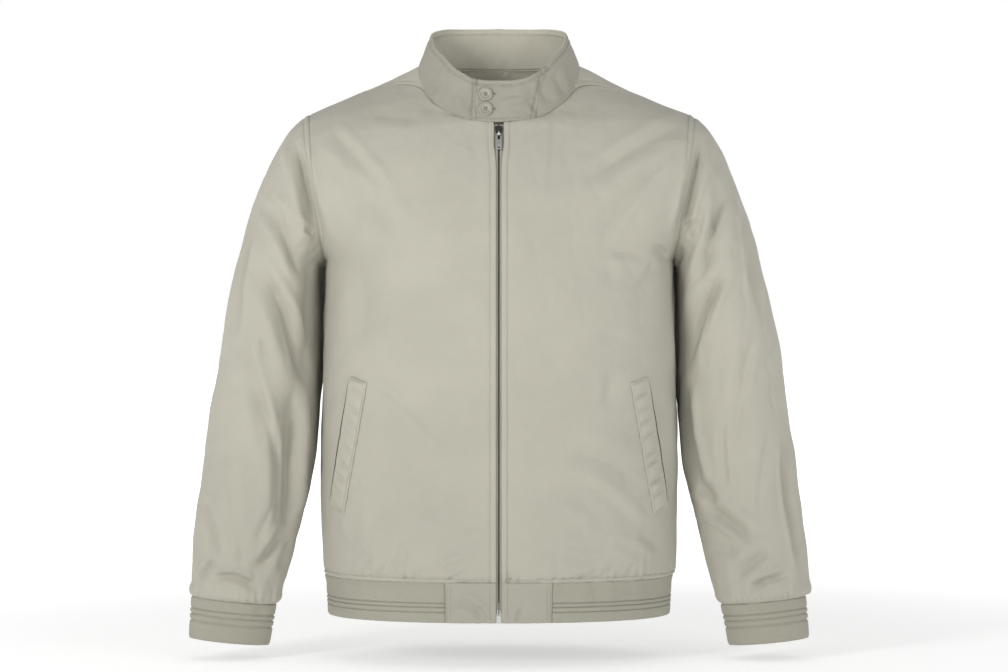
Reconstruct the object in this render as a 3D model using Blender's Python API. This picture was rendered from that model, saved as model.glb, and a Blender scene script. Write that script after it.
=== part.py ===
"""A zip-front bomber jacket with a buttoned stand collar, in the filled-out form it has when worn.

Metres, +Z up, the front faces -Y and the wearer's left side is +X. The origin lies between the
shoulders at the level of the side neck points, where the wearer holds the jacket up.

All the cloth lies on one form: the body, two sleeves, collar, waistband and cuffs share their
seam lines, and each piece is a wall that is grown from its part of that form.
"""

import math

import bmesh
import bpy
import numpy as np
from mathutils import Matrix, Vector
from mathutils.bvhtree import BVHTree

# Thickness of the walls, and the spaces between pieces.
CLOTH = 0.0015
COLLAR_CLOTH = 0.0030
RIB_CLOTH = 0.0026
TAPE_CLOTH = 0.0010
SEAM_GAP = 0.0003
TRIM = {"collar_stand": 0.0004, "collar_tab": 0.0007, "sleeve_left": 0.0004, "sleeve_right": 0.0004}
LAY_GAP = 0.0003

# Rows and columns of the form.
SIDE_ROWS = 14  # waist seam to underarm
FRONT_ARM_ROWS = (7, 6)  # underarm to the neck's front, then along the neck to the shoulder seam
BACK_ARM_ROWS = (6, 7)
TAB_COLUMNS = 3  # front edge to the end of the waist tab
BODY_COLUMNS = 9  # waist tab to side seam
SLEEVE_RINGS = 24
COLLAR_ROWS = 3

# The body below the underarm. The waistband's lower edge and its top seam are level.
WAIST_Z = -0.602
HEM_Z = -0.648
UNDERARM_Z = -0.228
FRONT_EDGE_X = 0.0030
SPREAD_EDGE_X = 0.0056  # the front edges part for the slider
SPREAD_FROM_Z, SPREAD_TO_Z = -0.125, -0.090
TAB_END_X = 0.063
FULLNESS = 0.62  # 0.55 makes a section round, more makes it squarer
ARM_BLEND = (0.10, 0.62)  # climbs between which rows change from parts of a whole section to their own corner

BODY_TABLE = (
    ("height", "half_width", "front", "back"),
    (-0.602, 0.2065, -0.1310, 0.1130),
    (-0.590, 0.2098, -0.1375, 0.1185),
    (-0.563, 0.2118, -0.1410, 0.1210),
    (-0.500, 0.2136, -0.1415, 0.1190),
    (-0.454, 0.2130, -0.1410, 0.1150),
    (-0.380, 0.2112, -0.1395, 0.1120),
    (-0.322, 0.2098, -0.1395, 0.1140),
    (-0.265, 0.2082, -0.1400, 0.1180),
    (-0.228, 0.2076, -0.1390, 0.1210),
)
BAND_TABLE = (
    ("height", "half_width", "front", "back"),
    (-0.602, 0.2065, -0.1310, 0.1130),
    (-0.610, 0.2046, -0.1300, 0.1115),
    (-0.630, 0.2040, -0.1295, 0.1110),
    (-0.648, 0.2032, -0.1285, 0.1100),
)

# Above the underarm. Climb runs from 0 at the underarm to 1 at the shoulder point. A row of the
# form starts on the centre line, or past the neck on the neckline, bends towards its corner
# and ends on the armhole.
FRONT_NECK_CLIMB = 0.66
BACK_NECK_CLIMB = 0.70
CENTRE_FRONT_TABLE = (
    ("climb", "y", "z"),
    (0.00, -0.1390, -0.2280),
    (0.20, -0.1375, -0.2030),
    (0.40, -0.1240, -0.1500),
    (0.54, -0.1060, -0.1060),
    (0.66, -0.0855, -0.0656),
)
CENTRE_BACK_TABLE = (
    ("climb", "y", "z"),
    (0.00, 0.1210, -0.2280),
    (0.20, 0.1225, -0.1960),
    (0.40, 0.1190, -0.1340),
    (0.56, 0.1000, -0.0560),
    (0.70, 0.0685, 0.0098),
)
FRONT_CORNER_TABLE = (
    ("climb", "x", "y", "z"),
    (0.00, 0.2076, -0.1390, -0.2280),
    (0.20, 0.1900, -0.1375, -0.2060),
    (0.40, 0.1640, -0.1260, -0.1580),
    (0.66, 0.1500, -0.0930, -0.0810),
    (0.83, 0.1330, -0.0480, -0.0300),
    (1.00, 0.1120, 0.0200, 0.0120),
)
BACK_CORNER_TABLE = (
    ("climb", "x", "y", "z"),
    (0.00, 0.2076, 0.1210, -0.2280),
    (0.20, 0.1900, 0.1225, -0.2010),
    (0.40, 0.1680, 0.1220, -0.1500),
    (0.70, 0.1500, 0.0860, -0.0420),
    (0.85, 0.1230, 0.0480, -0.0070),
    (1.00, 0.1120, 0.0200, 0.0120),
)

# The neckline and the collar's top edge are loops round the neck. Turn is the angle in degrees
# from the centre front round to the centre back.
NECK_HALF_WIDTH = 0.0945
NECK_FRONT, NECK_BACK = -0.0855, 0.0685
NECK_TABLE = (
    ("turn", "z"),
    (0, -0.0656), (24, -0.0630), (46, -0.0475), (63, -0.0305),
    (78, -0.0100), (90, 0.0040), (105, 0.0085), (125, 0.0095), (180, 0.0098),
)
COLLAR_HALF_WIDTH = 0.0825
COLLAR_FRONT, COLLAR_BACK = -0.0800, 0.0665
COLLAR_TABLE = (
    ("turn", "z"),
    (0, -0.0189), (11, -0.0183), (21, -0.0158), (31, -0.0087), (43, 0.0010),
    (54, 0.0130), (69, 0.0262), (80, 0.0368), (90, 0.0425), (110, 0.0500), (135, 0.0560), (180, 0.0590),
)
TAB_SEAM_TURN = 28.0  # where the buttoned tab is sewn to the collar
SHOULDER_SEAM_TURN = 63.0
SHOULDER_SEAM_BACK = 10.0  # how far behind the armhole's outer point the shoulder seam ends
COLLAR_SLANT = 10.0  # how far the top of the tab's seam lies round from its foot
TAB_END_SHARE = 0.30  # how far the tab's free end lies past one of the collar's columns
TAB_FALL = 0.0012

# The sleeve. Each ring leans from an outer to an inner point, seen from the front.
SLEEVE_TABLE = (
    ("ring", "outer_x", "outer_z", "inner_x", "inner_z", "middle_y", "half_depth"),
    (0, 0.2328, -0.0552, 0.2076, -0.2280, 0.000, 0.082),
    (1, 0.2490, -0.0690, 0.2128, -0.2345, 0.002, 0.085),
    (2, 0.2712, -0.1056, 0.2146, -0.2430, 0.003, 0.086),
    (3, 0.2934, -0.1596, 0.2152, -0.2616, 0.004, 0.084),
    (4, 0.3096, -0.2136, 0.2155, -0.2880, 0.004, 0.081),
    (5, 0.3228, -0.2676, 0.2156, -0.3216, 0.003, 0.077),
    (6, 0.3336, -0.3216, 0.2160, -0.3600, 0.000, 0.072),
    (7, 0.3414, -0.3756, 0.2168, -0.4032, -0.004, 0.067),
    (8, 0.3480, -0.4296, 0.2182, -0.4488, -0.009, 0.062),
    (9, 0.3552, -0.4836, 0.2250, -0.4968, -0.015, 0.057),
    (10, 0.3612, -0.5376, 0.2376, -0.5448, -0.021, 0.052),
    (11, 0.3654, -0.5820, 0.2490, -0.5880, -0.026, 0.047),
    (12, 0.3668, -0.6096, 0.2570, -0.6160, -0.029, 0.040),
    (13, 0.3638, -0.6258, 0.2656, -0.6354, -0.030, 0.031),
)
CUFF_TABLE = (
    ("ring", "outer_x", "outer_z", "inner_x", "inner_z", "middle_y", "half_depth"),
    (0, 0.3638, -0.6258, 0.2656, -0.6354, -0.030, 0.031),
    (1, 0.3646, -0.6340, 0.2672, -0.6440, -0.030, 0.029),
    (2, 0.3668, -0.6744, 0.2742, -0.6834, -0.031, 0.028),
)

# The three lines knitted into the ribs, as shares of the depth from the seam to the edge.
BAND_LINES = (0.507, 0.609, 0.733)
CUFF_LINES = (0.600, 0.685, 0.770)
LINE_HALF_WIDTH = 0.0012
LINE_DEPTH = 0.0007

# Folds, each a soft trough along a slightly bowed line that is seen from the front or back,
# with its two ends as x and z. A negative depth makes a ridge.
FOLD_TABLE = (
    ("seen_from", "x0", "z0", "x1", "z1", "bow", "width", "depth"),
    # wearer's right sleeve, front
    ("front", -0.2490, -0.0860, -0.2200, -0.1900, 0.004, 0.013, 0.0060),
    ("front", -0.2830, -0.1580, -0.2340, -0.2440, -0.010, 0.015, 0.0050),
    ("front", -0.2900, -0.2320, -0.2450, -0.3700, -0.012, 0.014, 0.0055),
    ("front", -0.3520, -0.5080, -0.3460, -0.5800, -0.008, 0.011, 0.0040),
    ("front", -0.3480, -0.6060, -0.2900, -0.6160, -0.006, 0.010, 0.0050),
    ("front", -0.3000, -0.5980, -0.2560, -0.5450, 0.004, 0.012, 0.0045),
    # wearer's left sleeve, front
    ("front", 0.2500, -0.0860, 0.2170, -0.1860, -0.004, 0.013, 0.0060),
    ("front", 0.2640, -0.1260, 0.2380, -0.2500, 0.006, 0.015, 0.0050),
    ("front", 0.2740, -0.2380, 0.2340, -0.3600, 0.014, 0.014, 0.0055),
    ("front", 0.2520, -0.5300, 0.2990, -0.5640, 0.002, 0.013, 0.0050),
    ("front", 0.3230, -0.5740, 0.2840, -0.6040, 0.002, 0.011, 0.0045),
    ("front", 0.3520, -0.6040, 0.3060, -0.6140, 0.004, 0.010, 0.0050),
    # body, front
    ("front", -0.2030, -0.0700, -0.1460, -0.1300, -0.006, 0.020, 0.0030),
    ("front", -0.1720, -0.1450, -0.1280, -0.1950, -0.004, 0.020, 0.0025),
    ("front", 0.2060, -0.0640, 0.1140, -0.1240, 0.006, 0.020, 0.0030),
    ("front", 0.1980, -0.0900, 0.1300, -0.1850, 0.008, 0.020, 0.0025),
    ("front", 0.1000, -0.4900, 0.1660, -0.5440, 0.006, 0.018, 0.0028),
    ("front", 0.0980, -0.4560, 0.1640, -0.5000, 0.006, 0.018, 0.0022),
    ("front", -0.1500, -0.5900, -0.1000, -0.5300, 0.006, 0.018, 0.0022),
    # back
    ("back", -0.1900, -0.0900, -0.1000, -0.1500, 0.006, 0.022, 0.0040),
    ("back", 0.1900, -0.0850, 0.1100, -0.1600, -0.006, 0.022, 0.0040),
    ("back", -0.1500, -0.5900, -0.1000, -0.5000, -0.008, 0.020, 0.0035),
    ("back", 0.1400, -0.5900, 0.0800, -0.5150, 0.008, 0.020, 0.0035),
    ("back", -0.2480, -0.0900, -0.2220, -0.1900, 0.004, 0.014, 0.0050),
    ("back", 0.2480, -0.0900, 0.2220, -0.1900, -0.004, 0.014, 0.0050),
    ("back", -0.3000, -0.2500, -0.2400, -0.3300, -0.008, 0.016, 0.0050),
    ("back", 0.3050, -0.2350, 0.2400, -0.3200, 0.008, 0.016, 0.0050),
    ("back", -0.3400, -0.3700, -0.2500, -0.4200, 0.008, 0.016, 0.0045),
    ("back", 0.3350, -0.3800, 0.2500, -0.4150, -0.008, 0.016, 0.0045),
    ("back", -0.3500, -0.6040, -0.2900, -0.6120, -0.005, 0.010, 0.0045),
    ("back", 0.3500, -0.6040, 0.2900, -0.6120, 0.005, 0.010, 0.0045),
)
FOLD_SIDES = {"front": (0, -1, 0), "back": (0, 1, 0)}
SMOOTH_GROUPS = (
    ("front_left", "front_right", "back"),
    ("sleeve_left",),
    ("sleeve_right",),
    ("cuff_left",),
    ("cuff_right",),
    ("collar_stand", "collar_tab"),
    ("waistband_rib", "waist_tab_left", "waist_tab_right"),
)
FOLD_LIP_SHARE = 0.45  # the raised edge beside each trough

# Pocket welts, corners seen from the front on the wearer's left side: (x, z).
WELT_INNER_TOP, WELT_INNER_FOOT = (0.1555, -0.3700), (0.1795, -0.5215)
WELT_OUTER_TOP, WELT_OUTER_FOOT = (0.1745, -0.3640), (0.1935, -0.5080)
WELT_CLOTH = 0.0016
WELT_STEPS = (3, 6)
WELT_GAP = 0.0007

# Facing inside the back of the neck: columns and rows of the back that it covers.
FACING_COLUMNS = 3
FACING_ROWS = 3
FACING_CLOTH = 0.0012

# Zip.
TAPE_INNER_X = 0.0007
TAPE_OUTER_X = 0.0135
TAPE_TOP_DROP = 0.004
SLIDER_Z = -0.0795
SLIDER_SIZE = (0.0084, 0.0145, 0.0014)
SLIDER_STEM = (0.0007, 0.0050)
BAIL_INNER_RADIUS = 0.0022
BAIL_THICK = 0.0011
BAIL_WIDTH = 0.0016
PULL_BAR_RADIUS = 0.0007
PULL_ARM_X = (0.0013, 0.0027)
PULL_PLATE = (0.0066, 0.0032, 0.0205)  # width, top and foot measured from the hinge
PULL_THICK = 0.0013
PULL_HOLE = (0.0030, 0.0024, 0.0183)  # width, height, centre below the hinge
BOX_SIZE = (0.0056, 0.0090, 0.0032)

# Collar buttons, seen from the front.
BUTTON_SPOTS = {"button_upper": (-0.0152, -0.0345), "button_lower": (-0.0152, -0.0520)}
BUTTON_PROFILE = (  # radius, height
    (0.0000, 0.0000), (0.0066, 0.0000), (0.0080, 0.0010), (0.0080, 0.0018),
    (0.0074, 0.0026), (0.0060, 0.0026), (0.0042, 0.0016), (0.0000, 0.0016),
)
BUTTON_SIDES = 20

# Colours (linear), roughness, metallic.
FINISHES = {
    "cotton": ((0.392, 0.376, 0.314), 0.85, 0.0),
    "cotton_inside": ((0.318, 0.306, 0.250), 0.88, 0.0),
    "rib": ((0.360, 0.350, 0.285), 0.90, 0.0),
    "tape": ((0.350, 0.338, 0.280), 0.88, 0.0),
    "zip_metal": ((0.470, 0.470, 0.460), 0.32, 1.0),
    "button": ((0.420, 0.405, 0.340), 0.40, 0.0),
}


def columns_of(table):
    """The columns of a table whose first row names them."""
    return {name: [row[i] for row in table[1:]] for i, name in enumerate(table[0])}


def smooth_curve(xs, ys):
    """A function through the points, smooth and with no overshoot."""
    order = np.argsort(xs)
    xs, ys = np.asarray(xs, float)[order], np.asarray(ys, float)[order]
    step = np.diff(xs)
    slope = np.diff(ys) / step
    tangent = np.zeros(len(xs))
    tangent[0], tangent[-1] = slope[0], slope[-1]
    for i in range(1, len(xs) - 1):
        if slope[i - 1] * slope[i] > 0:
            before, after = 2 * step[i] + step[i - 1], step[i] + 2 * step[i - 1]
            tangent[i] = (before + after) / (before / slope[i - 1] + after / slope[i])

    def value(x):
        i = min(max(int(np.searchsorted(xs, x)) - 1, 0), len(step) - 1)
        t = (x - xs[i]) / step[i]
        return (
            (1 + 2 * t) * (1 - t) ** 2 * ys[i]
            + t * (1 - t) ** 2 * step[i] * tangent[i]
            + t * t * (3 - 2 * t) * ys[i + 1]
            + t * t * (t - 1) * step[i] * tangent[i + 1]
        )

    return value


def ramp(values, low, high):
    t = np.clip((values - low) / (high - low), 0, 1)
    return t * t * (3 - 2 * t)


def curves_of(table):
    """One smooth function of the first column for each other column."""
    columns = columns_of(table)
    key = table[0][0]
    return {name: smooth_curve(columns[key], values) for name, values in columns.items() if name != key}


BODY, BAND = curves_of(BODY_TABLE), curves_of(BAND_TABLE)
CENTRE = {"front": curves_of(CENTRE_FRONT_TABLE), "back": curves_of(CENTRE_BACK_TABLE)}
CORNER = {"front": curves_of(FRONT_CORNER_TABLE), "back": curves_of(BACK_CORNER_TABLE)}
NECK_CLIMB = {"front": FRONT_NECK_CLIMB, "back": BACK_NECK_CLIMB}
NECK, COLLAR = curves_of(NECK_TABLE), curves_of(COLLAR_TABLE)
SLEEVE, CUFF = curves_of(SLEEVE_TABLE), curves_of(CUFF_TABLE)


def ring_point(curves, ring, angle):
    """A point of a sleeve ring: 0 is its outer point, 90 its front and 180 its inner point."""
    outer = np.array((curves["outer_x"](ring), 0, curves["outer_z"](ring)))
    inner = np.array((curves["inner_x"](ring), 0, curves["inner_z"](ring)))
    turn = math.radians(angle)
    middle = (outer + inner) / 2 + np.array((0, curves["middle_y"](ring), 0))
    depth = np.array((0, -curves["half_depth"](ring) * math.sin(turn), 0))
    return middle + (outer - inner) / 2 * math.cos(turn) + depth


def loop_point(half_width, front, back, height, turn):
    """A point of a loop round the neck."""
    angle = math.radians(turn)
    y = (front + back) / 2 + (front - back) / 2 * math.cos(angle)
    return np.array((half_width * math.sin(angle), y, height(turn)))


def neck_point(turn):
    return loop_point(NECK_HALF_WIDTH, NECK_FRONT, NECK_BACK, NECK["z"], turn)


def collar_top_point(turn):
    slant = COLLAR_SLANT * math.exp(-(((turn - TAB_SEAM_TURN) / 22) ** 2)) * min(1, turn / 12)
    return loop_point(COLLAR_HALF_WIDTH, COLLAR_FRONT, COLLAR_BACK, COLLAR["z"], turn + slant)


FIRST_TURN = math.degrees(math.asin(SPREAD_EDGE_X / NECK_HALF_WIDTH))


def neck_turn(face, share):
    """The turn at a share of the way along the neckline, from its front or back to the shoulder seam."""
    if face == "back":
        return 180 + (SHOULDER_SEAM_TURN - 180) * share
    if share < 0.5:
        return FIRST_TURN + (TAB_SEAM_TURN - FIRST_TURN) * share / 0.5
    return TAB_SEAM_TURN + (SHOULDER_SEAM_TURN - TAB_SEAM_TURN) * (share - 0.5) / 0.5


def along_row(start, corner, end, share):
    """A point of a row that leaves its start and meets its end in the direction of its corner."""
    leave = start + FULLNESS * (corner - start)
    meet = end + FULLNESS * (corner - end)
    rest = 1 - share
    return rest**3 * start + 3 * rest**2 * share * leave + 3 * rest * share**2 * meet + share**3 * end


def edge_x(face, height):
    """How far the first column lies from the centre plane."""
    if face == "back":
        return 0.0
    share = min(max((height - SPREAD_FROM_Z) / (SPREAD_TO_Z - SPREAD_FROM_Z), 0), 1)
    return FRONT_EDGE_X + (SPREAD_EDGE_X - FRONT_EDGE_X) * share * share * (3 - 2 * share)


def section_row(curves, face, height):
    """Start, corner and end of a level row below the underarm."""
    depth, half_width = curves[face](height), curves["half_width"](height)
    start_x = edge_x(face, height)
    return [np.array(point) for point in ((start_x, depth, height), (half_width, depth, height), (half_width, 0, height))]


def chest_row(face, climb):
    """Start, corner and end of a row above the underarm."""
    if climb <= NECK_CLIMB[face]:
        height = CENTRE[face]["z"](climb)
        start = np.array((edge_x(face, height), CENTRE[face]["y"](climb), height))
    else:
        start = neck_point(neck_turn(face, (climb - NECK_CLIMB[face]) / (1 - NECK_CLIMB[face])))
    corner = np.array([CORNER[face][axis](climb) for axis in "xyz"])
    return start, corner, ring_point(SLEEVE, 0, arm_angle(face, climb))


def arm_angle(face, climb):
    """The angle on the armhole at which a row of the front or back ends."""
    if face == "front":
        return 180 - (180 + SHOULDER_SEAM_BACK) * climb
    return 180 + (180 - SHOULDER_SEAM_BACK) * climb


def along_chest(face, climb, share):
    """A point of a row above the underarm. The low rows are parts of whole sections, cut off at the armhole."""
    start, corner, end = chest_row(face, climb)
    own = along_row(start, corner, end, share)
    own_weight = float(ramp(climb, *ARM_BLEND))
    if own_weight == 1:
        return own
    whole = (start, np.array((end[0], start[1], start[2])), np.array((end[0], 0, start[2])))
    low, high = 0.0, 1.0
    for _ in range(40):
        middle = (low + high) / 2
        if abs(along_row(*whole, middle)[1]) > abs(end[1]):
            low = middle
        else:
            high = middle
    part = along_row(*whole, low * share) + (end - along_row(*whole, low)) * share**3
    return part + (own - part) * own_weight


def tab_share():
    """How far along the waist seam the waist tab ends."""
    low, high = 0.0, 1.0
    for _ in range(40):
        middle = (low + high) / 2
        if along_row(*section_row(BODY, "front", WAIST_Z), middle)[0] < TAB_END_X:
            low = middle
        else:
            high = middle
    return low


TAB_SHARE = tab_share()
SHARES = [TAB_SHARE * i / TAB_COLUMNS for i in range(TAB_COLUMNS)]
SHARES += [TAB_SHARE + (1 - TAB_SHARE) * i / BODY_COLUMNS for i in range(BODY_COLUMNS + 1)]


def climbs_of(face, counts):
    neck = NECK_CLIMB[face]
    lower = [neck * i / counts[0] for i in range(1, counts[0] + 1)]
    return lower + [neck + (1 - neck) * i / counts[1] for i in range(1, counts[1] + 1)]


CLIMBS = {"front": climbs_of("front", FRONT_ARM_ROWS), "back": climbs_of("back", BACK_ARM_ROWS)}


def body_grid(face):
    """One half of a front or back, rows from the waist to the shoulder seam."""
    heights = [WAIST_Z + (UNDERARM_Z - WAIST_Z) * i / SIDE_ROWS for i in range(SIDE_ROWS + 1)]
    rows = [[along_row(*section_row(BODY, face, z), share) for share in SHARES] for z in heights]
    rows += [[along_chest(face, climb, share) for share in SHARES] for climb in CLIMBS[face]]
    return np.array(rows)


def band_grid(face, heights):
    return np.array([[along_row(*section_row(BAND, face, z), share) for share in SHARES] for z in heights])


def ring_angles():
    front = [arm_angle("front", climb) for climb in [0] + CLIMBS["front"]]
    back = [arm_angle("back", climb) for climb in [0] + CLIMBS["back"]]
    return front[::-1] + back[1:-1]


def even_rings(curves, last, count):
    """Ring numbers that lie evenly along the sleeve, between its outer and inner lines."""
    fine = np.linspace(0, last, 400)
    line = np.array([[curves[name](t) for name in ("outer_x", "outer_z", "inner_x", "inner_z")] for t in fine])
    run = np.concatenate([[0], np.cumsum(np.linalg.norm(np.diff(line, axis=0), axis=1))])
    return np.interp(np.linspace(0, run[-1], count + 1), run, fine)


def tube_grid(curves, rings):
    angles = ring_angles()
    return np.array([[ring_point(curves, ring, angle) for angle in angles] for ring in rings])


def collar_turns():
    """The neckline's points, from the centre front round to the centre back."""
    counts = {"front": FRONT_ARM_ROWS[1], "back": BACK_ARM_ROWS[1]}
    front = [neck_turn("front", i / counts["front"]) for i in range(counts["front"] + 1)]
    back = [neck_turn("back", i / counts["back"]) for i in range(counts["back"])]
    return front + back[::-1]


def collar_half():
    """Half of the collar: rows from the neckline up, columns from the centre front to the back."""
    feet = np.array([neck_point(turn) for turn in collar_turns()])
    tops = np.array([collar_top_point(turn) for turn in collar_turns()])
    return np.array([feet + (tops - feet) * row / COLLAR_ROWS for row in range(COLLAR_ROWS + 1)])


def mirrored(points):
    return points * np.array((-1, 1, 1))


class Form:
    """The garment's middle surface. Pieces that meet share their points there."""

    def __init__(self):
        self.points, self.numbers, self.pieces, self.grids = [], {}, {}, {}

    def number(self, point):
        key = tuple(np.round(point, 6) + 0.0)
        if key not in self.numbers:
            self.numbers[key] = len(self.points)
            self.points.append(np.array(point, float))
        return self.numbers[key]

    def add(self, name, grid, closed=False, flip=False):
        """Adds a grid of points to a piece. Its faces look to columns x rows, or flipped."""
        ids = np.array([[self.number(point) for point in row] for row in grid])
        self.grids.setdefault(name, []).append(ids)
        width = ids.shape[1]
        for r in range(ids.shape[0] - 1):
            for c in range(width if closed else width - 1):
                d = (c + 1) % width
                face = [ids[r, c], ids[r, d], ids[r + 1, d], ids[r + 1, c]]
                self.pieces.setdefault(name, []).append(face[::-1] if flip else face)

    def normals(self):
        """Smooth normals. Where two groups of pieces meet, the normal halves the angle between them."""
        points = np.array(self.points)
        total = np.zeros_like(points)
        for group in SMOOTH_GROUPS:
            own = np.zeros_like(points)
            for faces in (np.array(self.pieces[name]) for name in group):
                corners = points[faces]
                across = np.cross(corners[:, 2] - corners[:, 0], corners[:, 3] - corners[:, 1])
                for k in range(4):
                    np.add.at(own, faces[:, k], across)
            lengths = np.linalg.norm(own, axis=1, keepdims=True)
            total += own / np.where(lengths > 0, lengths, 1)
        return total / np.linalg.norm(total, axis=1, keepdims=True)

    def fold(self):
        normals = self.normals()
        moves = fold_heights(np.array(self.points), normals)
        self.points = list(np.array(self.points) + normals * moves[:, None])


def fold_heights(points, normals):
    """How far the folds move each point along its normal."""
    total = np.zeros(len(points))
    rows = columns_of(FOLD_TABLE)
    for row in zip(*rows.values()):
        fold = dict(zip(rows, row))
        seen = points[:, [0, 2]]
        first = np.array((fold["x0"], fold["z0"]))
        run = np.array((fold["x1"], fold["z1"])) - first
        length = np.linalg.norm(run)
        along = (seen - first) @ run / length**2
        bow = fold["bow"] * 4 * along * (1 - along)
        off = ((seen - first) @ np.array((-run[1], run[0])) / length - bow) / fold["width"]
        shape = -np.exp(-(off**2)) + FOLD_LIP_SHARE * np.exp(-(((np.abs(off) - 1.9) / 0.9) ** 2))
        ends = ramp(along, -0.08, 0.30) * ramp(-along, -1.08, -0.70)
        facing = normals @ np.array(FOLD_SIDES[fold["seen_from"]])
        total += fold["depth"] * shape * ends * ramp(facing, 0.15, 0.55)
    return total


def border_of(faces):
    """The directed edges that one face alone uses."""
    edges = {(face[k], face[(k + 1) % len(face)]) for face in faces for k in range(len(face))}
    return [(a, b) for a, b in edges if (b, a) not in edges]


def trimmed(points, normals, faces, trim):
    """Points of a piece, with its border drawn in by its share of the gap at a seam."""
    inward = {}
    for a, b in border_of(faces):
        for end in (a, b):
            side = np.cross(normals[end], points[b] - points[a])
            inward.setdefault(end, []).append(side / np.linalg.norm(side))
    moved = {}
    for end, sides in inward.items():
        total = np.sum(sides, axis=0)
        length = max(np.linalg.norm(total), 0.5)
        moved[end] = points[end] + total / length * trim * len(sides) / length
    return moved


def finish_mesh(name, points, faces, finish, sharp_degrees=50):
    """An object of one closed body from points and faces."""
    mesh = bpy.data.meshes.new(name)
    mesh.from_pydata([tuple(point) for point in points], [], faces)
    mesh.validate()
    mesh.update()
    mesh.shade_smooth()
    mesh.set_sharp_from_angle(angle=math.radians(sharp_degrees))
    mesh.materials.append(MATERIALS[finish])
    obj = bpy.data.objects.new(name, mesh)
    bpy.context.scene.collection.objects.link(obj)
    return obj


def wall_from(name, points, normals, faces, thickness, finish, shift=0.0):
    """A wall on both sides of its part of the form, or moved out from it by a shift."""
    moved = trimmed(points, normals, faces, TRIM.get(name, SEAM_GAP / 2))
    used = sorted({corner for face in faces for corner in face})
    place = {number: i for i, number in enumerate(used)}
    middle = np.array([moved.get(number, points[number]) for number in used])
    out = np.array([normals[number] for number in used])
    outer = middle + out * (shift + thickness / 2)
    inner = middle + out * (shift - thickness / 2)
    count = len(used)
    # Each face is split along the same diagonal on every layer, so that layers keep their spacing.
    halves = [half for a, b, c, d in faces for half in ((a, b, c), (a, c, d))]
    solid = [[place[c] for c in half] for half in halves]
    solid += [[place[c] + count for c in half[::-1]] for half in halves]
    for a, b in border_of(faces):
        outer_a, outer_b, inner_a, inner_b = place[a], place[b], place[a] + count, place[b] + count
        if a < b:
            solid += [(outer_b, outer_a, inner_b), (outer_a, inner_a, inner_b)]
        else:
            solid += [(outer_b, outer_a, inner_a), (outer_b, inner_a, inner_b)]
    return finish_mesh(name, np.concatenate([outer, inner]), solid, finish)


def grid_normals(grid, closed):
    """Normals of a loose grid, whose faces look to columns x rows."""
    down = np.gradient(grid, axis=0)
    if closed:
        across = (np.roll(grid, -1, axis=1) - np.roll(grid, 1, axis=1)) / 2
    else:
        across = np.gradient(grid, axis=1)
    normals = np.cross(across, down)
    return normals / np.linalg.norm(normals, axis=2, keepdims=True)


def sheet_wall(name, grid, offset, thickness, finish, normals=None):
    """A small wall whose middle lies at an offset from a loose grid of points."""
    normals = grid_normals(grid, False) if normals is None else normals
    rows, columns = grid.shape[:2]
    flat = (grid + normals * offset).reshape(-1, 3)
    out = normals.reshape(-1, 3)
    faces = [
        [r * columns + c, r * columns + c + 1, (r + 1) * columns + c + 1, (r + 1) * columns + c]
        for r in range(rows - 1)
        for c in range(columns - 1)
    ]
    return wall_from(name, flat, out, faces, thickness, finish)


def line_rows(lines, depth):
    """Shares of a rib's depth, and how deep its outer side is cut there."""
    rows = [(0.0, 0.0)]
    for line in lines:
        half = LINE_HALF_WIDTH / depth
        rows += [(line - half, 0.0), (line, LINE_DEPTH), (line + half, 0.0)]
    return rows + [(1.0, 0.0)]


def rib_wall(name, foot, top, cuts, closed, seam_normals):
    """A ribbed wall: lines cut into its outer side, over a plain inside."""
    shares = [share for share, _ in cuts]
    grid = np.array([top + (foot - top) * share for share in shares])[::-1]
    normals = grid_normals(grid, closed)
    normals[-1] = seam_normals
    depths = np.array([cut for _, cut in cuts])[::-1, None, None]
    along = grid[-1] - grid[0]
    along /= np.linalg.norm(along, axis=1, keepdims=True)
    grid[-1] -= along * SEAM_GAP / 2
    if not closed:
        for end, step in ((0, 1), (-1, -1)):
            side = grid[:, end + step] - grid[:, end]
            grid[:, end] += side / np.linalg.norm(side, axis=1, keepdims=True) * SEAM_GAP / 2
    outer = grid + normals * (RIB_CLOTH / 2 - depths)
    inner = (grid - normals * RIB_CLOTH / 2)[[0, -1]]
    rows, columns = outer.shape[:2]
    first_inner = rows * columns
    last_row = (rows - 1) * columns
    faces = []
    for c in range(columns if closed else columns - 1):
        d = (c + 1) % columns
        for r in range(rows - 1):
            faces.append([r * columns + c, r * columns + d, (r + 1) * columns + d, (r + 1) * columns + c])
        low, high = first_inner, first_inner + columns
        faces.append([low + d, low + c, high + c, high + d])
        faces.append([c, low + c, low + d, d])
        faces.append([last_row + d, high + d, high + c, last_row + c])
    if not closed:
        for c, turned in ((0, False), (columns - 1, True)):
            end = [r * columns + c for r in range(rows)] + [first_inner + columns + c, first_inner + c]
            faces.append(end[::-1] if turned else end)
    return finish_mesh(name, np.concatenate([outer.reshape(-1, 3), inner.reshape(-1, 3)]), faces, "rib")


def make_material(name, colour, roughness, metallic):
    material = bpy.data.materials.new(name)
    material.use_nodes = True
    shader = material.node_tree.nodes["Principled BSDF"]
    shader.inputs["Base Color"].default_value = (*colour, 1)
    shader.inputs["Roughness"].default_value = roughness
    shader.inputs["Metallic"].default_value = metallic
    return material


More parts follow.
